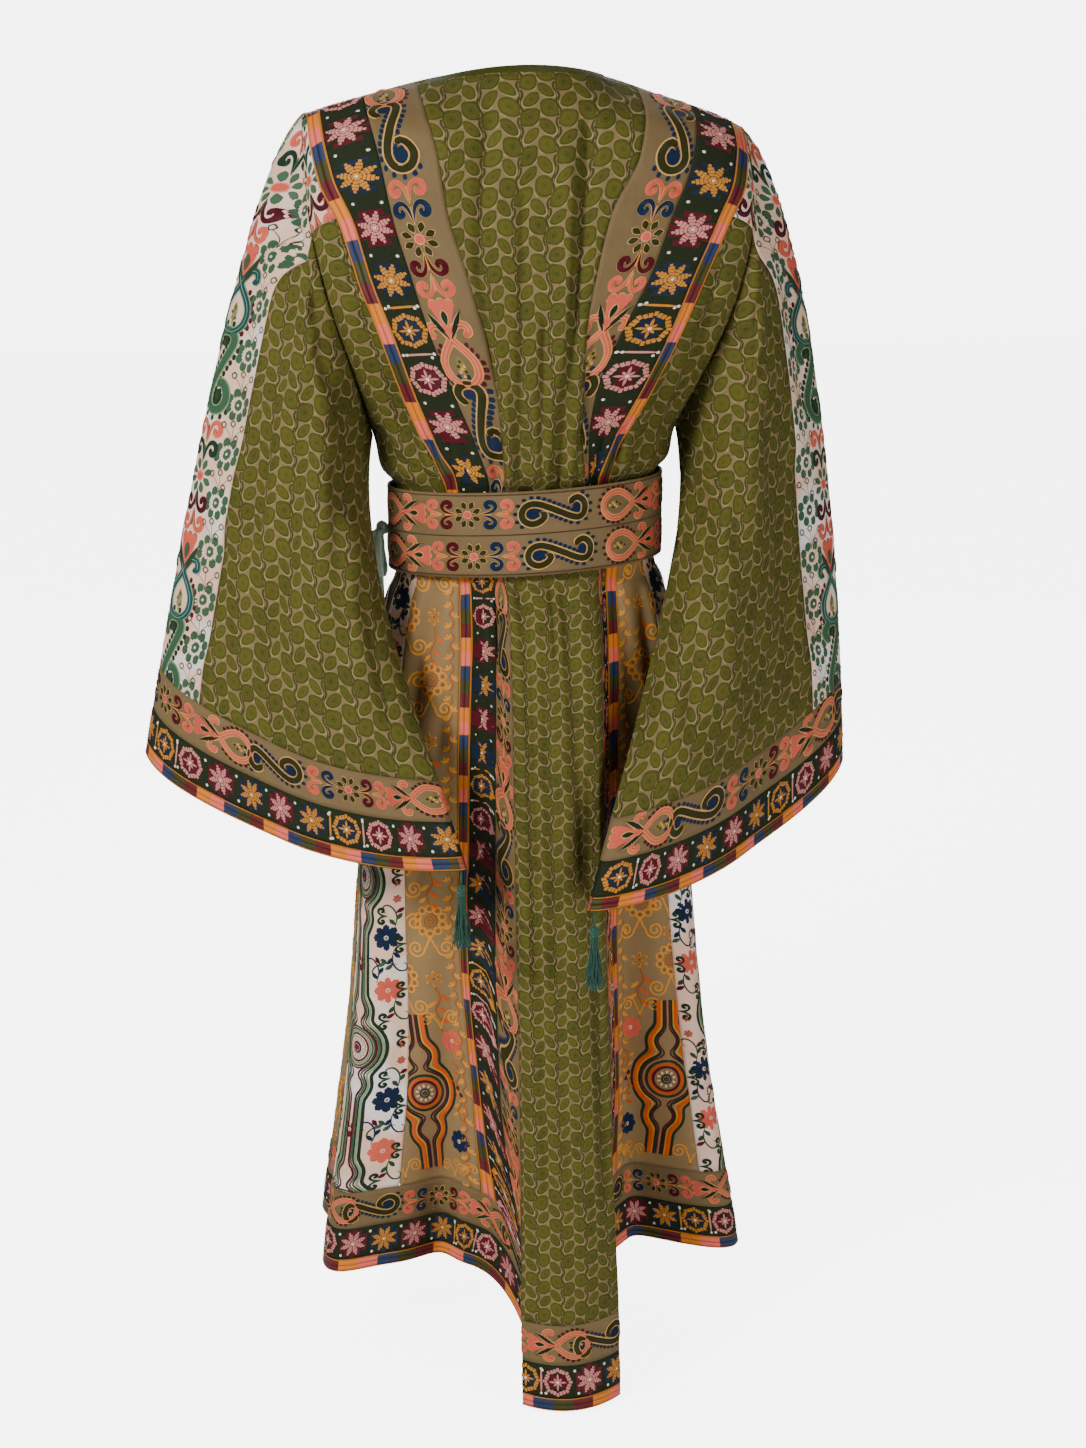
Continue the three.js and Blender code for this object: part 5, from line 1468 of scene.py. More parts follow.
def paisley(band, line, dots, inner):
    """A looped band whose ends cross and curl out, with dots round its belly and a small spray inside."""
    motif = Motif()
    half = [(-14, -22), (-20, -25), (-18, -33), (-9, -33), (-3, -25), (3, -15), (11, -5), (16.5, 7),
            (15, 20), (8, 28)]
    path = curve(half + [(0, 30.5)] + [(-x, y) for x, y in half[::-1]], 61)
    beads_along(motif, path[17:44], 6.2, 6.4, 6.2, dots, sides=(1,))
    motif.stroke(path, even(61, 8.8), line, 1)
    motif.stroke(path, even(61, 6.2), band, 2)
    motif.stroke(path[3:-3], np.full(55, 1.1), line, 3)
    motif.petal((0, 22), 180, 24, 12, "8c7a3c", 0, fullest=0.45)
    for k, spot in enumerate([(-3, 16), (3, 16), (0, 21), (-3, 10), (3, 10), (0, 5), (0, 13)]):
        motif.dot(spot, 3.6, inner if k % 2 else line, 1)
    return motif


FIGURES = {
    "long_s": long_s(OLIVE, CREAM, NAVY, NAVY),
    "pink_curls": curls(PINK, CREAM),
    "navy_curls": curls(NAVY, CREAM),
    "flower": eight_petals(OLIVE, CREAM, PINK, SALMON_LIGHT),
    "maroon_curls": curls(MAROON, CREAM),
    "tulip": tulip(PINK, CREAM, DARK_GREEN, DARK_GREEN),
    "paisley": paisley(PINK, CREAM, MAROON, OLIVE),
}
# the order down the ribbon: a figure, its middle within the repeat, and whether it stands on its head
SCROLL_ORDER = [
    ("long_s", 55, 0), ("pink_curls", 117, 0), ("navy_curls", 140, 0), ("flower", 173, 0),
    ("maroon_curls", 205, 180), ("pink_curls", 228, 180), ("tulip", 261, 0), ("paisley", 305, 0),
]
SCROLL_REPEAT, SCROLL_SIZE = 330.0, 1.1
print("scroll figures:", {name: sum(len(f) for f in figure.faces) for name, figure in FIGURES.items()})


def scroll_work(name, start=0.0, lines=((0.0, 0.0),), size=1.0, way=1, mirror=False, whole=True):
    """Lays the figures down a ribbon, or along a closed one to its right, or its left where way is -1. Each
    line is its place across the ribbon and how far it is shifted. start is where the repeat begins."""
    work = Needlework(name)
    cloth = work.cloth
    length = cloth.run_length()
    repeat = SCROLL_REPEAT * size
    if cloth.closed and whole:
        repeat = length / round(length / repeat)
    for line, shift in lines:
        for figure, middle, stands in SCROLL_ORDER:
            along = np.arange(start + shift + middle * size - 3 * repeat, length + repeat, repeat)
            shape = FIGURES[figure].mirrored() if mirror else FIGURES[figure]
            if cloth.closed:
                along = along[(along >= 0) & (along < length - 1)]
                x = along * way - cloth.anchor * cloth.width[0] + (0 if way > 0 else length)
                places = np.stack([x, np.full_like(x, line)], axis=1)
            else:
                along = along[(along > -40) & (along < length + 40)]
                places = np.stack([np.full_like(along, line), along], axis=1)
            if len(places):
                work.add(shape, places, stands + (-90 * way if cloth.closed else 0), size * SCROLL_SIZE)
    return work


# %% [markdown]
# ### The star ribbon's figures
# Stars of eight needles stand on coloured squares, with wheels between bars after every fourth, and white
# beads along both edges.

# %% Figures of the star ribbon
def stitches_out(motif, turn, near, far, widths, colour, level=1):
    """Counted stitches in a row that leads out from the middle, each with its own width."""
    way = np.array([math.sin(math.radians(turn)), math.cos(math.radians(turn))])
    edges = np.linspace(near, far, len(widths) + 1)
    for start, end, width in zip(edges, edges[1:], widths):
        motif.stroke([way * start, way * mix(start, end, 0.84)], [width, width], colour, level)


def star_figure(needles, patch):
    """Eight stepped arms of counted stitches in four pairs, on a coarse square patch."""
    motif = Motif()
    for k, width in enumerate((23, 34, 39, 34, 23)):
        y = (k - 2) * 7.2
        motif.stroke([(-width / 2, y), (0, y), (width / 2, y)], [7.6, 7.8, 7.6], patch, 0)
    for k in range(4):
        for lean in (-21, 21):
            stitches_out(motif, 90 * k + lean, 1.6, 16.6, (2.4, 4.4, 6.0, 5.2, 2.6), needles)
    return motif.dot((0, 0), 3.0, "f2e6dc", 3)


def wheel_figure(rim, patch):
    """A scalloped ring of counted stitches and a cross on a round patch."""
    motif = Motif().dot((0, 0), 33, patch, 0)
    for turn in range(0, 360, 15):
        scallop = 0.9 * math.cos(math.radians(8 * turn))
        stitches_out(motif, turn, 12.4 + scallop, 18.0 + scallop, (3.2,), rim)
    for k in range(8):
        reach = 11 if k % 2 == 0 else 7
        motif.petal((0, 0), 45 * k, reach, 2.6, rim, 2, fullest=0.6)
    return motif.dot((0, 0), 3.4, "f5ece2", 3)


def bar_figure(colour):
    """A bar with a bead at each end."""
    motif = Motif().stroke([(-14, 0), (-7, 0), (7, 0), (14, 0)], [1.4, 2.4, 2.4, 1.4], colour, 1)
    return motif.dot((-15.5, 0), 3.2, "f6efe4", 2).dot((15.5, 0), 3.2, "f6efe4", 2)


BEAD = Motif().dot((0, 0), 3.4, "f6efe4", 2)
SILVER_PINK, STAR_GOLD = "d98d86", "cf8a35"
MAROON_PATCH, NAVY_PATCH = "5a0f20", "16263a"
STAR_FIGURES = [
    (star_figure(SILVER_PINK, MAROON_PATCH), 30), (star_figure(STAR_GOLD, NAVY_PATCH), 87),
    (star_figure(SILVER_PINK, MAROON_PATCH), 144), (star_figure(STAR_GOLD, NAVY_PATCH), 201),
    (bar_figure(STAR_GOLD), 231), (wheel_figure(STAR_GOLD, NAVY_PATCH), 258), (bar_figure(SILVER_PINK), 286),
    (wheel_figure(SILVER_PINK, MAROON_PATCH), 315),
]
STAR_REPEAT, STAR_SIZE = 342.0, 1.12


def star_work(name, start=0.0, size=1.0, whole=True):
    """Lays stars, wheels and bars down a ribbon or round a closed one, and beads along its edges."""
    work = Needlework(name)
    cloth = work.cloth
    length = cloth.run_length()
    repeat = STAR_REPEAT * size
    repeat = length / round(length / repeat) if cloth.closed and whole else repeat
    middle = cloth.down[-1] / 2 if cloth.closed else (0.5 - cloth.anchor) * cloth.width[0]

    def places(along, off):
        off = np.full_like(along, middle + off)
        if cloth.closed:
            return np.stack([along - cloth.anchor * cloth.width[0], off], axis=1)
        return np.stack([off, along], axis=1)

    inset = 1 if cloth.closed else -14  # a figure may be cut off at a seam, but not where the ribbon closes
    for figure, at in STAR_FIGURES:
        along = np.arange(at * repeat / STAR_REPEAT + start - 3 * repeat, length + 20, repeat)
        along = along[(along > inset) & (along < length - inset)]
        work.add(figure, places(along, 0.0), -90 if cloth.closed else 0, STAR_SIZE * (1 + size) / 2)
    gap = repeat / 6
    beads = np.arange((58 * size + start) % gap, length, gap)
    return work.add(BEAD, np.concatenate([places(beads, -13.0), places(beads + 4, 14.0)]))


def cord_and_shade_lines(name, off, colour=GOLD, width=1.7):
    """A couched cord along each edge of a ribbon, at the given distances across it. On the belt the line at
    its middle is not a cord but a painted shadow of the fold between its two rows.
    """
    work = Needlework(name)
    work.name = name.replace("cloth", "lines_of_cord_and_shade")
    cloth = work.cloth
    length = cloth.run_length()
    run = np.arange(0, length, 5.0) if not cloth.closed else np.linspace(1, length - 1, int(length / 5))
    for at in off:
        edge = np.full_like(run, at)
        path = [run - cloth.anchor * cloth.width[0], edge] if cloth.closed else [edge, run]
        cord = Motif().stroke(np.stack(path, axis=1), np.full(len(run), width), colour, 1)
        work.add(cord, [(0, 0)])
    return work

# %% [markdown]
# ### Figures of the flowered and the gold cloth
# The flowered cloth repeats the ribbon's figures in sage, teal and maroon, beside florets on twigs, chains
# of ovals and waving bands. The gold cloth has rosettes, curls and vines in couched gold cord. The large
# medallions are nested plain lobes round a ring of petals.

# %% Figures of the flowered cloth
SAGE, SAGE_LIGHT, TEAL, BUD, TWIG, BLUSH = "3c6044", "86a07a", "164a52", "5a0522", "3f4a2a", "f0dccb"
SPRAY, RIM, GOLD_RIM, PETAL, HEART = "2d4a30", "16301f", "28381c", "ead2a8", "e8cfae"
FLORAL = {
    "long_s": long_s(SAGE, SAGE_LIGHT, "1f3420", "2b4630"),
    "pink_curls": curls(PINK, "8a4b3a", SAGE),
    "navy_curls": curls("1c3626", SAGE_LIGHT, SAGE),
    "flower": eight_petals("44684c", SAGE, PINK, SALMON_LIGHT),
    "maroon_curls": curls("4a0d1c", "7a4a44", SAGE),
    "tulip": tulip(PINK, "6f4a3a", SAGE, "26402a"),
    "paisley": paisley(TEAL, SAGE_LIGHT, BUD, SAGE),
}


def floret(colour, heart):
    """Eight round lobes in a ring, each with a light eye, round a ninth."""
    motif = Motif().dot((0, 0), 12, colour, 0)
    for k in range(8):
        a = math.radians(45 * k + 22)
        spot = (12.5 * math.sin(a), 12.5 * math.cos(a))
        motif.dot(spot, 10.5, colour, 0).dot((spot[0] * 0.62, spot[1] * 0.62), 2.6, heart, 2)
    return motif.dot((0, 0), 3, heart, 2)


def twig(colour):
    """A forked twig that ends in four small open diamonds."""
    motif = Motif()
    for fork in ([(0, 20), (-3, 8), (-10, 0), (-16, -4)], [(0, 20), (3, 8), (10, 0), (16, -4)],
                 [(0, 20), (0, 8), (-1, -6)]):
        motif.stroke(curve(fork, 9), np.full(9, 1.3), colour, 0)
    for x, y in ((-17, -7), (17, -7), (-2, -11), (8, 9)):
        diamond = np.array([(x, y - 4.5), (x + 4, y), (x, y + 4.5), (x - 4, y), (x, y - 4.5)])
        motif.stroke(curve(diamond, 13), np.full(13, 1.7), colour, 1)
    return motif


def oval_link(colour, light):
    motif = Motif().dot((0, 0), 12, colour, 0, tall=1.25).dot((0, 0), 7.4, light, 1, tall=1.3)
    return motif.dot((0, 0), 3.6, colour, 2, tall=1.5)


def lobes(lines, height, swell, neck, bump=0.7):
    """Lines one inside the other: a round lobe and two small ones on a bar that runs from end to end."""
    motif = Motif()
    y = np.linspace(-0.5, 0.5, 65) * height
    for k, (colour, width) in enumerate(lines):
        inset = sum(w for _, w in lines[:k]) + width / 2
        large, small = swell - inset, swell * bump - inset
        round_one = np.sqrt(np.clip(large**2 - y**2, 0, None))
        beside = np.sqrt(np.clip(small * abs(small) - (np.abs(y) - swell * 1.12) ** 2, 0, None))
        x = np.maximum.reduce([round_one, beside, np.full(65, neck - inset)])
        x = np.convolve(np.pad(x, 2, "edge"), [0.1, 0.2, 0.4, 0.2, 0.1], "valid")
        for side in (-1, 1) if x.min() > 0 else ():
            motif.stroke(np.stack([side * x, y], axis=1), np.full(65, width * 1.1), colour, k % 2)
    return motif


def round_flower(petal, heart, count=6, reach=13.0):
    motif = Motif()
    for k in range(count):
        motif.petal((0, 0), 360 / count * k, reach, reach * 0.78, petal, 0, fullest=0.68)
    return motif.dot((0, 0), 6.0, heart, 2).dot((0, 0), 2.6, petal, 3)


def wave_band(colours, height, swing):
    """Three bands side by side that swing out and back over one repeat."""
    motif = Motif()
    t = np.linspace(0, 1, 41)
    x = swing * np.sin(np.pi * np.clip((t - 0.25) / 0.5, 0, 1)) ** 0.8
    for k, colour in enumerate(colours):
        path = np.stack([x + 5.2 * k, height * (t - 0.5)], axis=1)
        motif.stroke(path, np.full(41, 5.8), colour, k % 2)
    return motif


def spray(colour, bud):
    """A curling stem with buds and small leaves on one side."""
    motif = Motif()
    stem = curve([(0, 20), (3, 10), (2, 0), (-4, -8), (-11, -8), (-12, -2), (-8, 1)], 22)
    motif.stroke(stem, almond(22, 2.6, 1.2, 1.2), colour, 0)
    for k, (x, y) in enumerate([(6, 6), (8, -3), (-2, 12)]):
        motif.petal((2, y + 4), (140, 120, 220)[k], 11, 5, bud if k == 1 else colour, 1)
    return motif


def medallion(rings, petal, petal_edge, heart, size, count=14):
    """Nested rings round a wreath of petals, a dark ring and a small flower."""
    motif = Motif()
    radius = size / 2
    for k, colour in enumerate(rings):
        around = np.linspace(0, 2 * math.pi, 41)
        path = np.stack([np.sin(around), np.cos(around)], axis=1) * (radius - 2.2 - 4.0 * k)
        motif.stroke(path, np.full(41, 4.6), colour, 0)
    wreath = radius - 4.0 * len(rings) - 1
    for k in range(count):
        turn = 360 / count * k
        motif.petal((0, 0), turn, wreath * 0.52, wreath * 0.42, petal_edge, 0, wreath * 0.48, fullest=0.7)
        motif.petal((0, 0), turn, wreath * 0.40, wreath * 0.26, petal, 1, wreath * 0.52, fullest=0.7)
    motif.dot((0, 0), wreath * 1.02, NAVY, 1)
    motif.dot((0, 0), wreath * 0.72, heart, 2)
    for k in range(6):
        motif.petal((0, 0), 60 * k, wreath * 0.3, wreath * 0.16, BUD, 3)
    return motif


FLORAL_PARTS = {
    "floret": floret(SAGE, BLUSH), "twig": twig(TWIG), "link": oval_link(SAGE, SAGE_LIGHT),
    "spray": spray(SPRAY, BUD), "sprig": spray(NAVY, SAGE),
    "wave": wave_band([NAVY, SAGE_LIGHT, TEAL, SAGE], 150, 16),
    "pink_flower": round_flower(PINK, "b8a080"), "rose_flower": round_flower(PINK, "d9c6b0", 8, 18.0),
    "navy_flower": round_flower(NAVY, BLUSH, 8, 18.0),
    "maroon_flower": round_flower("6d0f2a", BLUSH, 5, 14.0),
    "medallion": medallion([SPRAY, SAGE, SAGE_LIGHT, BUD], BLUSH, SAGE, "d07a80", 74),
    "lobes": lobes([(RIM, 5), (SAGE_LIGHT, 2.5), (RIM, 2.5), (SAGE, 2), (BUD, 3.5)], 200, 40, 17, 0.62),
}

# %% Figures of the gold cloth
CORD, CORD_LIGHT, ORANGE = "a8561a", "ee9c2c", "dc5c10"


def gold_rosette(reach=19.0, count=10):
    """A ring of open loops round a disc of coiled cord."""
    motif = Motif()
    for k in range(count):
        a = 2 * math.pi * k / count
        centre = np.array([math.sin(a), math.cos(a)]) * (reach - 4.5)
        around = np.linspace(0, 2 * math.pi, 9)
        loop = centre + 4.2 * np.stack([np.sin(around), np.cos(around)], axis=1)
        motif.stroke(loop, np.full(9, 2.6), CORD_LIGHT, 0)
        motif.dot(centre, 3.0, CORD, 1)
    turns = np.linspace(0, 5 * math.pi, 40)
    coil = np.stack([np.sin(turns), np.cos(turns)], axis=1) * (turns / (5 * math.pi) * 8.5)[:, None]
    return motif.stroke(coil, np.full(40, 2.2), CORD, 0)


def gold_curls():
    """Two couched spirals that leave one stem."""
    half = Motif()
    turns = np.linspace(0, 3.4 * math.pi, 34)
    radius = 10.5 * (1 - turns / (3.4 * math.pi) * 0.85)
    spiral = np.stack([17 - radius * np.cos(turns), 2 - radius * np.sin(turns)], axis=1)
    path = np.concatenate([[(0, 18), (1.5, 12), (4, 6)], spiral])
    half.stroke(path, np.full(len(path), 2.7), CORD_LIGHT, 0)
    return Motif().join(half).join(half, mirror=True).dot((0, 20), 3, CORD, 1)


def gold_floret():
    motif = Motif()
    for k in range(6):
        motif.petal((0, 0), 60 * k, 9, 4.4, CORD_LIGHT, 0, start=1.5)
        motif.petal((0, 0), 60 * k, 6, 1.8, CORD, 1, start=2.5)
    return motif.dot((0, 0), 3.2, CORD, 1)


def gold_loops():
    """One repeat of the vine of loops and trefoils beside the stripe."""
    motif = Motif()
    for x, y, turn in ((-3, -12, 30), (3, 0, -30), (-3, 12, 30)):
        for spread in (-45, 0, 45):
            motif.petal((x, y + 4), 180 + turn + spread, 8, 3.6, CORD_LIGHT, 0)
    stem = curve([(-2, -18), (3, -9), (-3, 0), (3, 9), (-2, 18)], 13)
    return motif.stroke(stem, np.full(13, 1.9), CORD, 0)


def gold_spray():
    motif = Motif()
    motif.stroke(curve([(0, 24), (-4, 10), (3, -4), (-2, -18)], 15), np.full(15, 2.4), CORD, 0)
    for k, (x, y) in enumerate([(-3, 14), (0, 8), (1, 0), (2, -6), (0, -13)]):
        side = 1 if k % 2 else -1
        motif.petal((x, y), 180 - side * 55, 14, 5.4, CORD_LIGHT if k % 2 else ORANGE, 0)
    return motif


GOLD_PARTS = {
    "rosette": gold_rosette(), "curls": gold_curls(), "floret": gold_floret(), "loops": gold_loops(),
    "spray": gold_spray(), "bud": round_flower(BUD, CORD_LIGHT, 3, 10.0),
    "pink_flower": round_flower(PINK, HEART, 8, 17.0), "navy_flower": round_flower(NAVY, HEART, 8, 17.0),
    "lobes": lobes([(RIM, 4), (ORANGE, 4.5), (CORD_LIGHT, 2.2), (RIM, 2.6), (BUD, 2.6)], 200, 43, 17, 0.62),
    "small_medallion": medallion([GOLD_RIM, ORANGE, BUD], PETAL, CORD, "7a8a4a", 52, 10),
}
print("gold figures:", {name: sum(len(f) for f in figure.faces) for name, figure in GOLD_PARTS.items()})

# %% [markdown]
# ## Putting the cloth up
# Every panel becomes a shell, gets its finish, rides on the one body and hides the CAD nodes that it stands
# for.

# %% Shells
def put_up(made, finish, slot, *nodes):
    """Gives a piece its finish and its body, and hides the CAD nodes that it stands for. slot is not used."""
    made.data.materials.append(FINISHES[finish].material)
    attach(made, "root")
    if nodes:
        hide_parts(*nodes)
    return made


for name, plan in CLOTHS.items():
    cloth = plan["cloth"]
    wall = BELT["wall"] if name == "belt_cloth" else CLOTH
    made = put_up(shell(cloth, wall), plan["finish"], plan["finish"], *plan["nodes"])
    print(f"{name}: {len(made.data.polygons)} faces")

# %% [markdown]
# ## Laying the needlework
# The figures run down the ribbons of the back, round the hem and cuffs, and in two rows round the belt. A
# gold cord edges each stripe. On the cuffs, hem and belt they are smaller than at the shoulders.

# %% Needlework of the ribbons
START = {"scroll": 47.0, "star": 43.0}  # how far below the shoulder seam the first repeat begins
CUFFS = {
    "left": {"size": 0.78, "scroll": 68, "star_size": 0.74, "star": 52},
    "right": {"size": 0.9, "scroll": 83, "star_size": 0.79, "star": 88},
}
for side, way in (("left", 1), ("right", -1)):
    scroll_work(f"scroll_ribbon_cloth_{side}", START["scroll"], lines=((way * 23, 0),),
                mirror=side == "right").make("scroll_ribbon")
    star_work(f"star_ribbon_cloth_{side}", START["star"]).make("star_ribbon")
    cord_and_shade_lines(f"stripe_ribbon_cloth_{side}", (way * 1.2, way * 14.8)).make("stripe_ribbon")
    cuff = CUFFS[side]
    figures = scroll_work(f"cuff_scroll_cloth_{side}", cuff["scroll"], ((23, 0),), cuff["size"], whole=False)
    figures.make("scroll_ribbon")
    star_work(f"cuff_star_cloth_{side}", cuff["star"], cuff["star_size"], whole=False).make("star_ribbon")
    cord_and_shade_lines(f"cuff_stripe_cloth_{side}", (1.0, 14.8), width=1.3).make("stripe_ribbon")
scroll_work("hem_scroll_cloth", 0, ((23, 0),), 0.72).make("scroll_ribbon")
star_work("hem_star_cloth", 0, 0.68).make("star_ribbon")
cord_and_shade_lines("hem_stripe_cloth", (1.0, 14.8), width=1.3).make("stripe_ribbon")
scroll_work("belt_cloth", 376, ((24.5, 0), (72.0, -7)), 0.8, way=-1).make("scroll_ribbon")
# the belt's lines: dark stitched lines at both edges, and at 48.2 mm between them a painted shadow line where
# the belt folds between its two rows
cord_and_shade_lines("belt_cloth", (3.0, 48.2, 93.0), "4a3422", 1.2).make("scroll_ribbon")

# %% [markdown]
# The flowered top of each sleeve has nine columns beside its back seam: florets on twigs, the ribbon's
# figures, chains of ovals between flowers, and waving bands. The cap of the shoulder continues them.

# %% Needlework of the sleeves
CHAIN_REPEAT, WAVE = 262, 150


def column_layer(work, parts):
    """Gives a function that lays one of the parts down a column, a gap apart from the first place on."""
    length = work.cloth.flat[..., 1].max()

    def lay(part, first, gap, x, turn=0, size=1.0, above=np.inf):
        y = np.arange(first, length + gap, gap)
        y = y[y < above]
        work.add(parts[part], np.stack([np.full_like(y, x), y], axis=1), turn, size)

    return lay


def flowered_work(name, way, columns, start):
    """Columns of the flowered cloth, at distances from the seam. way is the side on which they lie."""
    work = Needlework(name)
    lay, lay_figure = column_layer(work, FLORAL_PARTS), column_layer(work, FLORAL)
    for kind, x in columns:
        x = way * x
        if kind == "florets":
            lay("floret", 20 - start, 56, x, 0, 1.1)
            lay("twig", 50 - start, 56, x, 0, 0.8)
        elif kind == "figures":
            for figure, middle, stands in SCROLL_ORDER:
                lay_figure(figure, middle - start - 60, SCROLL_REPEAT, x, stands, 1.1)
        elif kind == "chain":
            for k in range(7):
                lay("link", 20 + 17 * k - start, CHAIN_REPEAT, x, 0, 1.15)
            lay("pink_flower", 150 - start, CHAIN_REPEAT, x, 0, 1.6)
            lay("spray", 182 - start, CHAIN_REPEAT, x, 0, 1.1)
            lay("pink_flower", 216 - start, CHAIN_REPEAT, x, 20, 1.5)
            lay("spray", 248 - start, CHAIN_REPEAT, x, 180)
        elif kind == "waves":
            for k in range(2):
                y = 60 + WAVE * k - start
                lay("wave", y, 2 * WAVE, x - way * 8, 0 if (way > 0) == (k == 0) else 180)
                lay("maroon_flower", y, 2 * WAVE, x + way * (16 - 34 * k), 0, 1.3)
            lay("sprig", 135 - start, WAVE, x + way * 12, 0, 0.9)
    return work


TOP_COLUMNS = [("florets", 18), ("figures", 52), ("chain", 84), ("waves", 114), ("chain", 150),
               ("figures", 182), ("florets", 216), ("chain", 246), ("figures", 280)]
CAP_COLUMNS = [("florets", -32), ("figures", 0), ("chain", 30)]
for side, way in (("left", -1), ("right", 1)):
    flowered_work(f"sleeve_top_cloth_{side}", way, TOP_COLUMNS, 30).make("flower_cloth")
    flowered_work(f"cap_cloth_{side}", 1, CAP_COLUMNS, 10).make("flower_cloth")

# %% Needlework of the skirt
SKIRT_REPEAT, GOLD_REPEAT, FRONT_REPEAT = 200.0, 144, 170
GOLD_COLUMNS = {
    34: "rosette curls floret spray", 72: "curls floret rosette curls",
    110: "floret spray curls rosette", 148: "rosette curls spray floret",
}
# near the hem of the gold panel: a figure, its distance from the stripe, its height, turn and size
LOW_FIGURES = [
    ("lobes", 66, 116, 0, 1), ("small_medallion", 66, 116, 0, 0.95), ("pink_flower", 22, 52, 0, 0.9),
    ("navy_flower", 20, 178, 0, 0.9), ("pink_flower", 116, 62, 0, 0.95), ("navy_flower", 122, 166, 0, 0.95),
    ("bud", 108, 98, 30, 1), ("bud", 104, 134, 0, 1), ("spray", 18, 96, 0, 0.8), ("spray", 18, 136, 180, 0.8),
    ("spray", 126, 116, 160, 1), ("curls", 34, 20, 0, 0.9), ("curls", 104, 22, 0, 0.9),
    ("curls", 30, 212, 0, 0.8), ("curls", 106, 206, 0, 0.9), ("floret", 152, 60, 0, 1.2),
    ("floret", 152, 190, 0, 1.2), ("curls", 16, 58, 90, 0.6), ("curls", 112, 80, 0, 0.6),
    ("curls", 16, 206, 0, 0.6), ("bud", 20, 116, 60, 0.9), ("curls", 122, 198, 180, 0.6),
    ("curls", 120, 140, 180, 0.6),
]
LOW_HEIGHT = 232


def skirt_flower_work(side, way):
    """Flowers and sprays beside the gold panel, then columns of pointed lobes round to the front."""
    work = Needlework(f"skirt_flower_cloth_{side}")
    lay, lay_figure = column_layer(work, FLORAL_PARTS), column_layer(work, FLORAL)
    half = SKIRT_REPEAT / 2
    for k, part in enumerate(("navy_flower", "rose_flower")):
        beside = 10 + half + (-34, 30)[k]
        lay(part, beside, SKIRT_REPEAT, way * 21, 0, 0.95)
        lay("spray", beside - 30 + 60 * k, SKIRT_REPEAT, way * 12, 180 * k)
        lay("sprig", 10 + half, SKIRT_REPEAT, way * (12 + 22 * k), 180 - 180 * k)
        lay("pink_flower", 10 + 20 * k, SKIRT_REPEAT, way * 8, 15, 0.42)
    for top, x in ((10, way * 60), (50, way * 148)):
        lay("lobes", top, SKIRT_REPEAT, x)
        lay("medallion", top, SKIRT_REPEAT, x, 0, 0.7)
        lay("maroon_flower", top + half, SKIRT_REPEAT, x, 0, 0.8)
        for beside in (-1, 1):
            lay("spray", top + half, SKIRT_REPEAT, x + way * beside * 30, 90 * beside)
    lay_figure("long_s", 60, 110, way * 104, 0, 0.8)
    for x, y in ((9, 2), (27, 50), (8, 86), (8, 142), (28, 178)):
        lay_figure("navy_curls", y, SKIRT_REPEAT, way * x, 90 * way, 0.55)
    return work


def skirt_gold_work(side, way):
    """A vine of loops beside the stripe, columns of rosettes and curls, and pointed lobes near the hem."""
    work = Needlework(f"skirt_gold_cloth_{side}")
    lay = column_layer(work, GOLD_PARTS)
    high = work.cloth.flat[..., 1].max() - LOW_HEIGHT
    lay("loops", 18, 36, way * 9, 0, 0.95)
    for x, figures in GOLD_COLUMNS.items():
        for k, figure in enumerate(figures.split()):
            lay(figure, 22 + 36 * k, GOLD_REPEAT, way * x, 180 * (k % 2), 1.05, high + 8)
    for figure, x, y, turn, size in LOW_FIGURES:
        work.add(GOLD_PARTS[figure], [(way * x, high + y)], turn, size)
    return work


def front_work():
    """Rows of rosettes, florets and curls over the front of the skirt."""
    work = Needlework("front_skirt_cloth")
    lay = column_layer(work, GOLD_PARTS)
    figures = [("rosette", 40, 0), ("curls", 80, 180), ("floret", 106, 0), ("curls", 134, 0)]
    for k, x in enumerate(np.arange(-392, 393, 56)):
        shift = FRONT_REPEAT / 2 * (k % 2)
        for figure, y, turn in figures:
            lay(figure, y - shift, FRONT_REPEAT, x, turn, 1.08)
    return work


for side, way in (("left", -1), ("right", 1)):
    skirt_flower_work(side, way).make("flower_cloth")
    skirt_gold_work(side, way).make("gold_cloth")
front_work().make("gold_cloth")

# %% [markdown]
# ## Neck edge, tie and tassels
# The neck has a narrow folded band with a row of stitches under it. The belt is tied at the left hip with
# pale satin. Each cuff's inner corner has a thread tassel: a cord, a bound head and thirty wavy threads.

# %% Neck edge
NECK_BAND = {"middle": 4.4, "width": 9.0, "stitch": 11.6, "gap": 4.6}
for name in ("back_centre_cloth", "front_bodice_cloth"):
    work = Needlework(name)
    reach = NECK_HALF + 14 if name.startswith("back") else NECK_HALF * 1.5
    band = Motif()
    x = np.linspace(-reach, reach, 90)
    band.stroke(np.stack([x, 0 * x + NECK_BAND["middle"]], axis=1), even(90, NECK_BAND["width"]), "3f4210", 0)
    stitch = Motif().stroke([(-1.6, 0), (0, 0), (1.6, 0)], [0.7, 1.1, 0.7], "20240a", 0)
    work.add(band, [(0, 0)])
    x = np.arange(-reach, reach, NECK_BAND["gap"])
    work.add(stitch, np.stack([x, 0 * x + NECK_BAND["stitch"]], axis=1))
    work.make("leaf_cloth")

# %% Tie
TIE = {"knot": (-168.4, -4, -506), "forward": (-0.62, -0.78, 0), "width": 22, "gathered": 0.35, "wall": 1.2}
TIE_LOOP = [(1, 0), (12, 5), (17, 26), (16, 46), (11, 54), (6, 46), (5, 26), (2, 2)]
TIE_TAIL = [(1, 2), (9, 24), (11, 56), (10, 90)]
satin = Finish("tie_satin", Roughness=0.32, Sheen_Weight=0.3)
x, y = satin.flat_cut(MM)
satin.colour(satin.paint(satin.noise(0.012, 2, (1, 1, 0.3)), dye("9fbfa4"), dye("c9dcc8")))
satin.raised(satin.noise(0.009, 2, (1.4, 1.4, 0.25)), 0.0012)
forward = np.array(TIE["forward"]) / np.linalg.norm(TIE["forward"])
across = np.array([forward[1], -forward[0], 0])


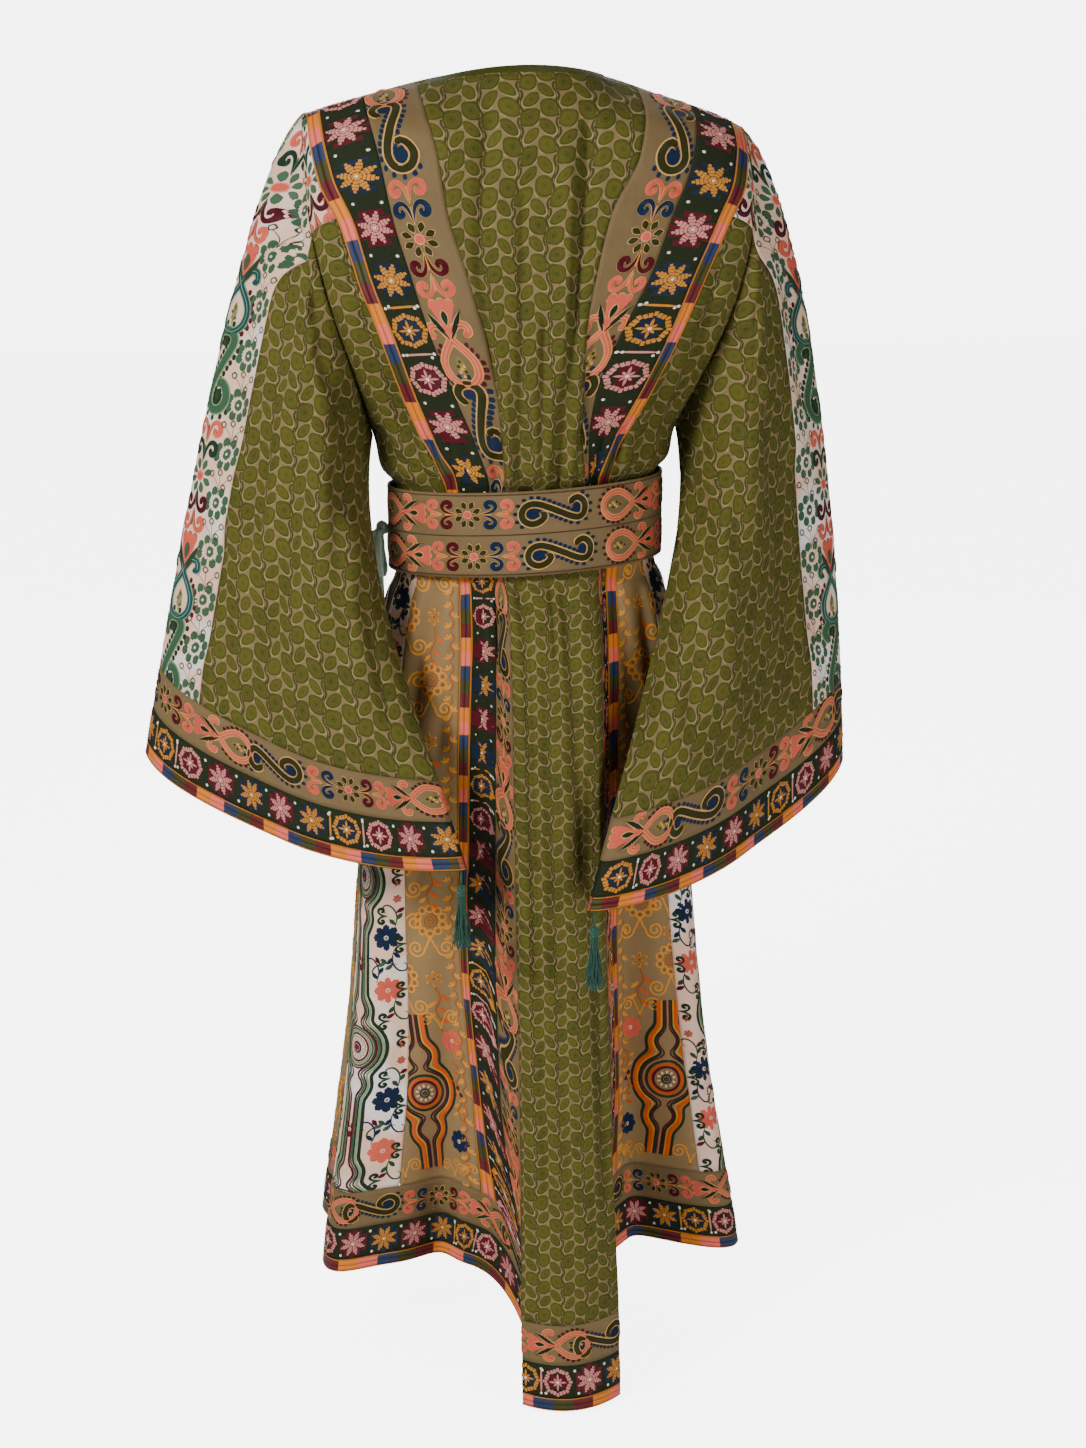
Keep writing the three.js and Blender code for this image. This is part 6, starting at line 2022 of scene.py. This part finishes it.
def tie_cloth(name, path, width, both_ends):
    """A satin band along a path from the knot, gathered where it enters it and with a soft pleat inside."""
    route = curve(path, 41)
    count = len(route)
    left = np.arange(count)
    left = np.minimum(left, left[::-1]) if both_ends else left
    half = width / 2 * mix(TIE["gathered"], 1, smooth(left / count / 0.3))
    side = np.linspace(-1, 1, 9)
    middle = np.array(TIE["knot"]) + route[:, :1] * forward - route[:, 1:] * (0, 0, 1)
    points = middle[:, None] + (half[:, None] * side)[..., None] * across
    pleat = 1.1 * np.cos(side * 7)[None, :] * (0.4 + 0.6 * np.cos(np.linspace(0, 3, count)) ** 2)[:, None]
    return Cloth(name, points + grid_normals(points) * pleat[..., None])


knot = table("turn out down", (0, 0, -9), (1, 4, -6), (2, 5.6, 0), (3, 4.4, 6), (4, 0, 9))
down = curve(np.stack([knot["out"], knot["down"]], axis=1), 13)
around = np.linspace(0, 2 * math.pi, 25)[:-1]
wraps = 1 + 0.09 * np.cos(5 * around + 0.4)
ring = np.maximum(down[:, :1], 0.05) * wraps
knot_points = (np.array(TIE["knot"]) + (ring * np.cos(around))[..., None] * across * 1.4
               + (ring * np.sin(around))[..., None] * forward + down[:, 1][:, None, None] * (0, 0, -1))
TIE_PARTS = (("tie_loop_cloth", TIE_LOOP, 1.0, True), ("tie_tail_cloth", TIE_TAIL, 0.8, False))
for name, path, share, both in TIE_PARTS:
    cloth = tie_cloth(name, path, TIE["width"] * share, both)
    made = shell(cloth, TIE["wall"])
    put_up(made, "tie_satin", "tie_satin", *(["belt_tie"] if both else []))
    CLOTHS[name] = {"cloth": cloth}
made = make_object("tie_knot", knot_points.reshape(-1, 3) * MM, grid_faces(13, 24, True))
put_up(made, "tie_satin", "tie_satin")
set_uv(made, "flat_cut", knot_points.reshape(-1, 3)[:, [1, 2]] * MM)

# %% Tassels
TASSEL = {"cord": 16, "cord_radius": 1.2, "threads": 30, "thread": 1.5, "length": 66, "uneven": 0.12,
          "root": 4, "end": 11, "wave": 1.3}
TASSEL_HEAD = [(0.1, -15.6), (1.2, -16), (4.4, -18.6), (5.5, -22.5), (3.85, -25.4), (5.2, -29),
               (0.1, -29.4)]

GOLDEN_ANGLE = 2.39996  # spreads the threads evenly


def tube(path, radii, sides):
    """Points round a path that runs mostly downward, and the faces of the closed tube."""
    turns = np.linspace(0, 2 * math.pi, sides + 1)[:-1]
    radii = np.broadcast_to(radii, len(path)).copy()
    radii[[0, -1]] = 0.02
    rim = np.stack([np.cos(turns), np.sin(turns), 0 * turns], axis=-1)
    return (path[:, None] + radii[:, None, None] * rim).reshape(-1, 3), grid_faces(len(path), sides, True)


def tassel_parts(rng):
    """The cord, the turned head and its threads, from the place where the tassel is sewn on."""
    down = np.linspace(0, -TASSEL["cord"], 7)
    yield tube(xyz(0 * down, 0 * down, down), TASSEL["cord_radius"], 8)
    head = curve(TASSEL_HEAD, 25)
    yield tube(xyz(0 * head[:, 0], 0 * head[:, 0], head[:, 1]), head[:, 0], 20)
    for k in range(TASSEL["threads"]):
        angle = k * GOLDEN_ANGLE + 0.3 * rng.random()
        share = math.sqrt((k + 0.5) / TASSEL["threads"])
        length = TASSEL["length"] * (1 - TASSEL["uneven"] * rng.random())
        t = np.linspace(0, 1, 22)
        spread = share * mix(TASSEL["root"], TASSEL["end"], smooth(t))
        sway = TASSEL["wave"] * t * np.sin(t * (9 + 5 * rng.random()) + 6 * rng.random())
        turn = angle + 0.5 * t * (rng.random() - 0.5)
        path = xyz(np.cos(turn) * spread + sway, np.sin(turn) * spread - sway * 0.6, -28 - length * t)
        yield tube(path, TASSEL["thread"] / 2, 5)


tassel_thread = Finish("tassel_thread", Roughness=0.5, Sheen_Weight=0.3)
tassel_thread.colour(tassel_thread.paint(tassel_thread.noise(0.002, 2), dye("052a20"), dye("1d5c49")))
for side, sleeve in SLEEVES.items():
    sewn = sleeve_point(sleeve, 0.02, 1.0) - (0, 0, 0.4)
    points, faces, count = [], [], 0
    for part_points, part_faces in tassel_parts(np.random.default_rng(7 if side == "left" else 11)):
        points.append(part_points)
        faces.append(part_faces + count)
        count += len(part_points)
    made = make_object(f"tassel_threads_{side}", (np.concatenate(points) + sewn) * MM, np.concatenate(faces))
    put_up(made, "tassel_thread", "tassel_silk", f"tassel_{side}")
print("tassels of", TASSEL["threads"], "threads")

# %% [markdown]
# ## What each cloth was cut to
# The flat width and length of every panel's cut come from its own outer grid and are printed: the length
# along the seam or edge where its pattern starts, and the width that gives its area.

# %% Sheets
for name, plan in CLOTHS.items():
    cloth = plan["cloth"]
    long_way = float(cloth.width.mean()) * MM if cloth.closed else cloth.length
    cloth.area / long_way
    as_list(NEEDLEWORK.get(name, []))
    print(f"{name}: cut {cloth.area / long_way:.3f} x {long_way:.3f} m")

# %% Finish
low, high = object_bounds()
{"cad": [list(cad_low), list(cad_high)], "visual": [list(low), list(high)]}
print("visual box", [round(x, 3) for x in (*low, *high)])
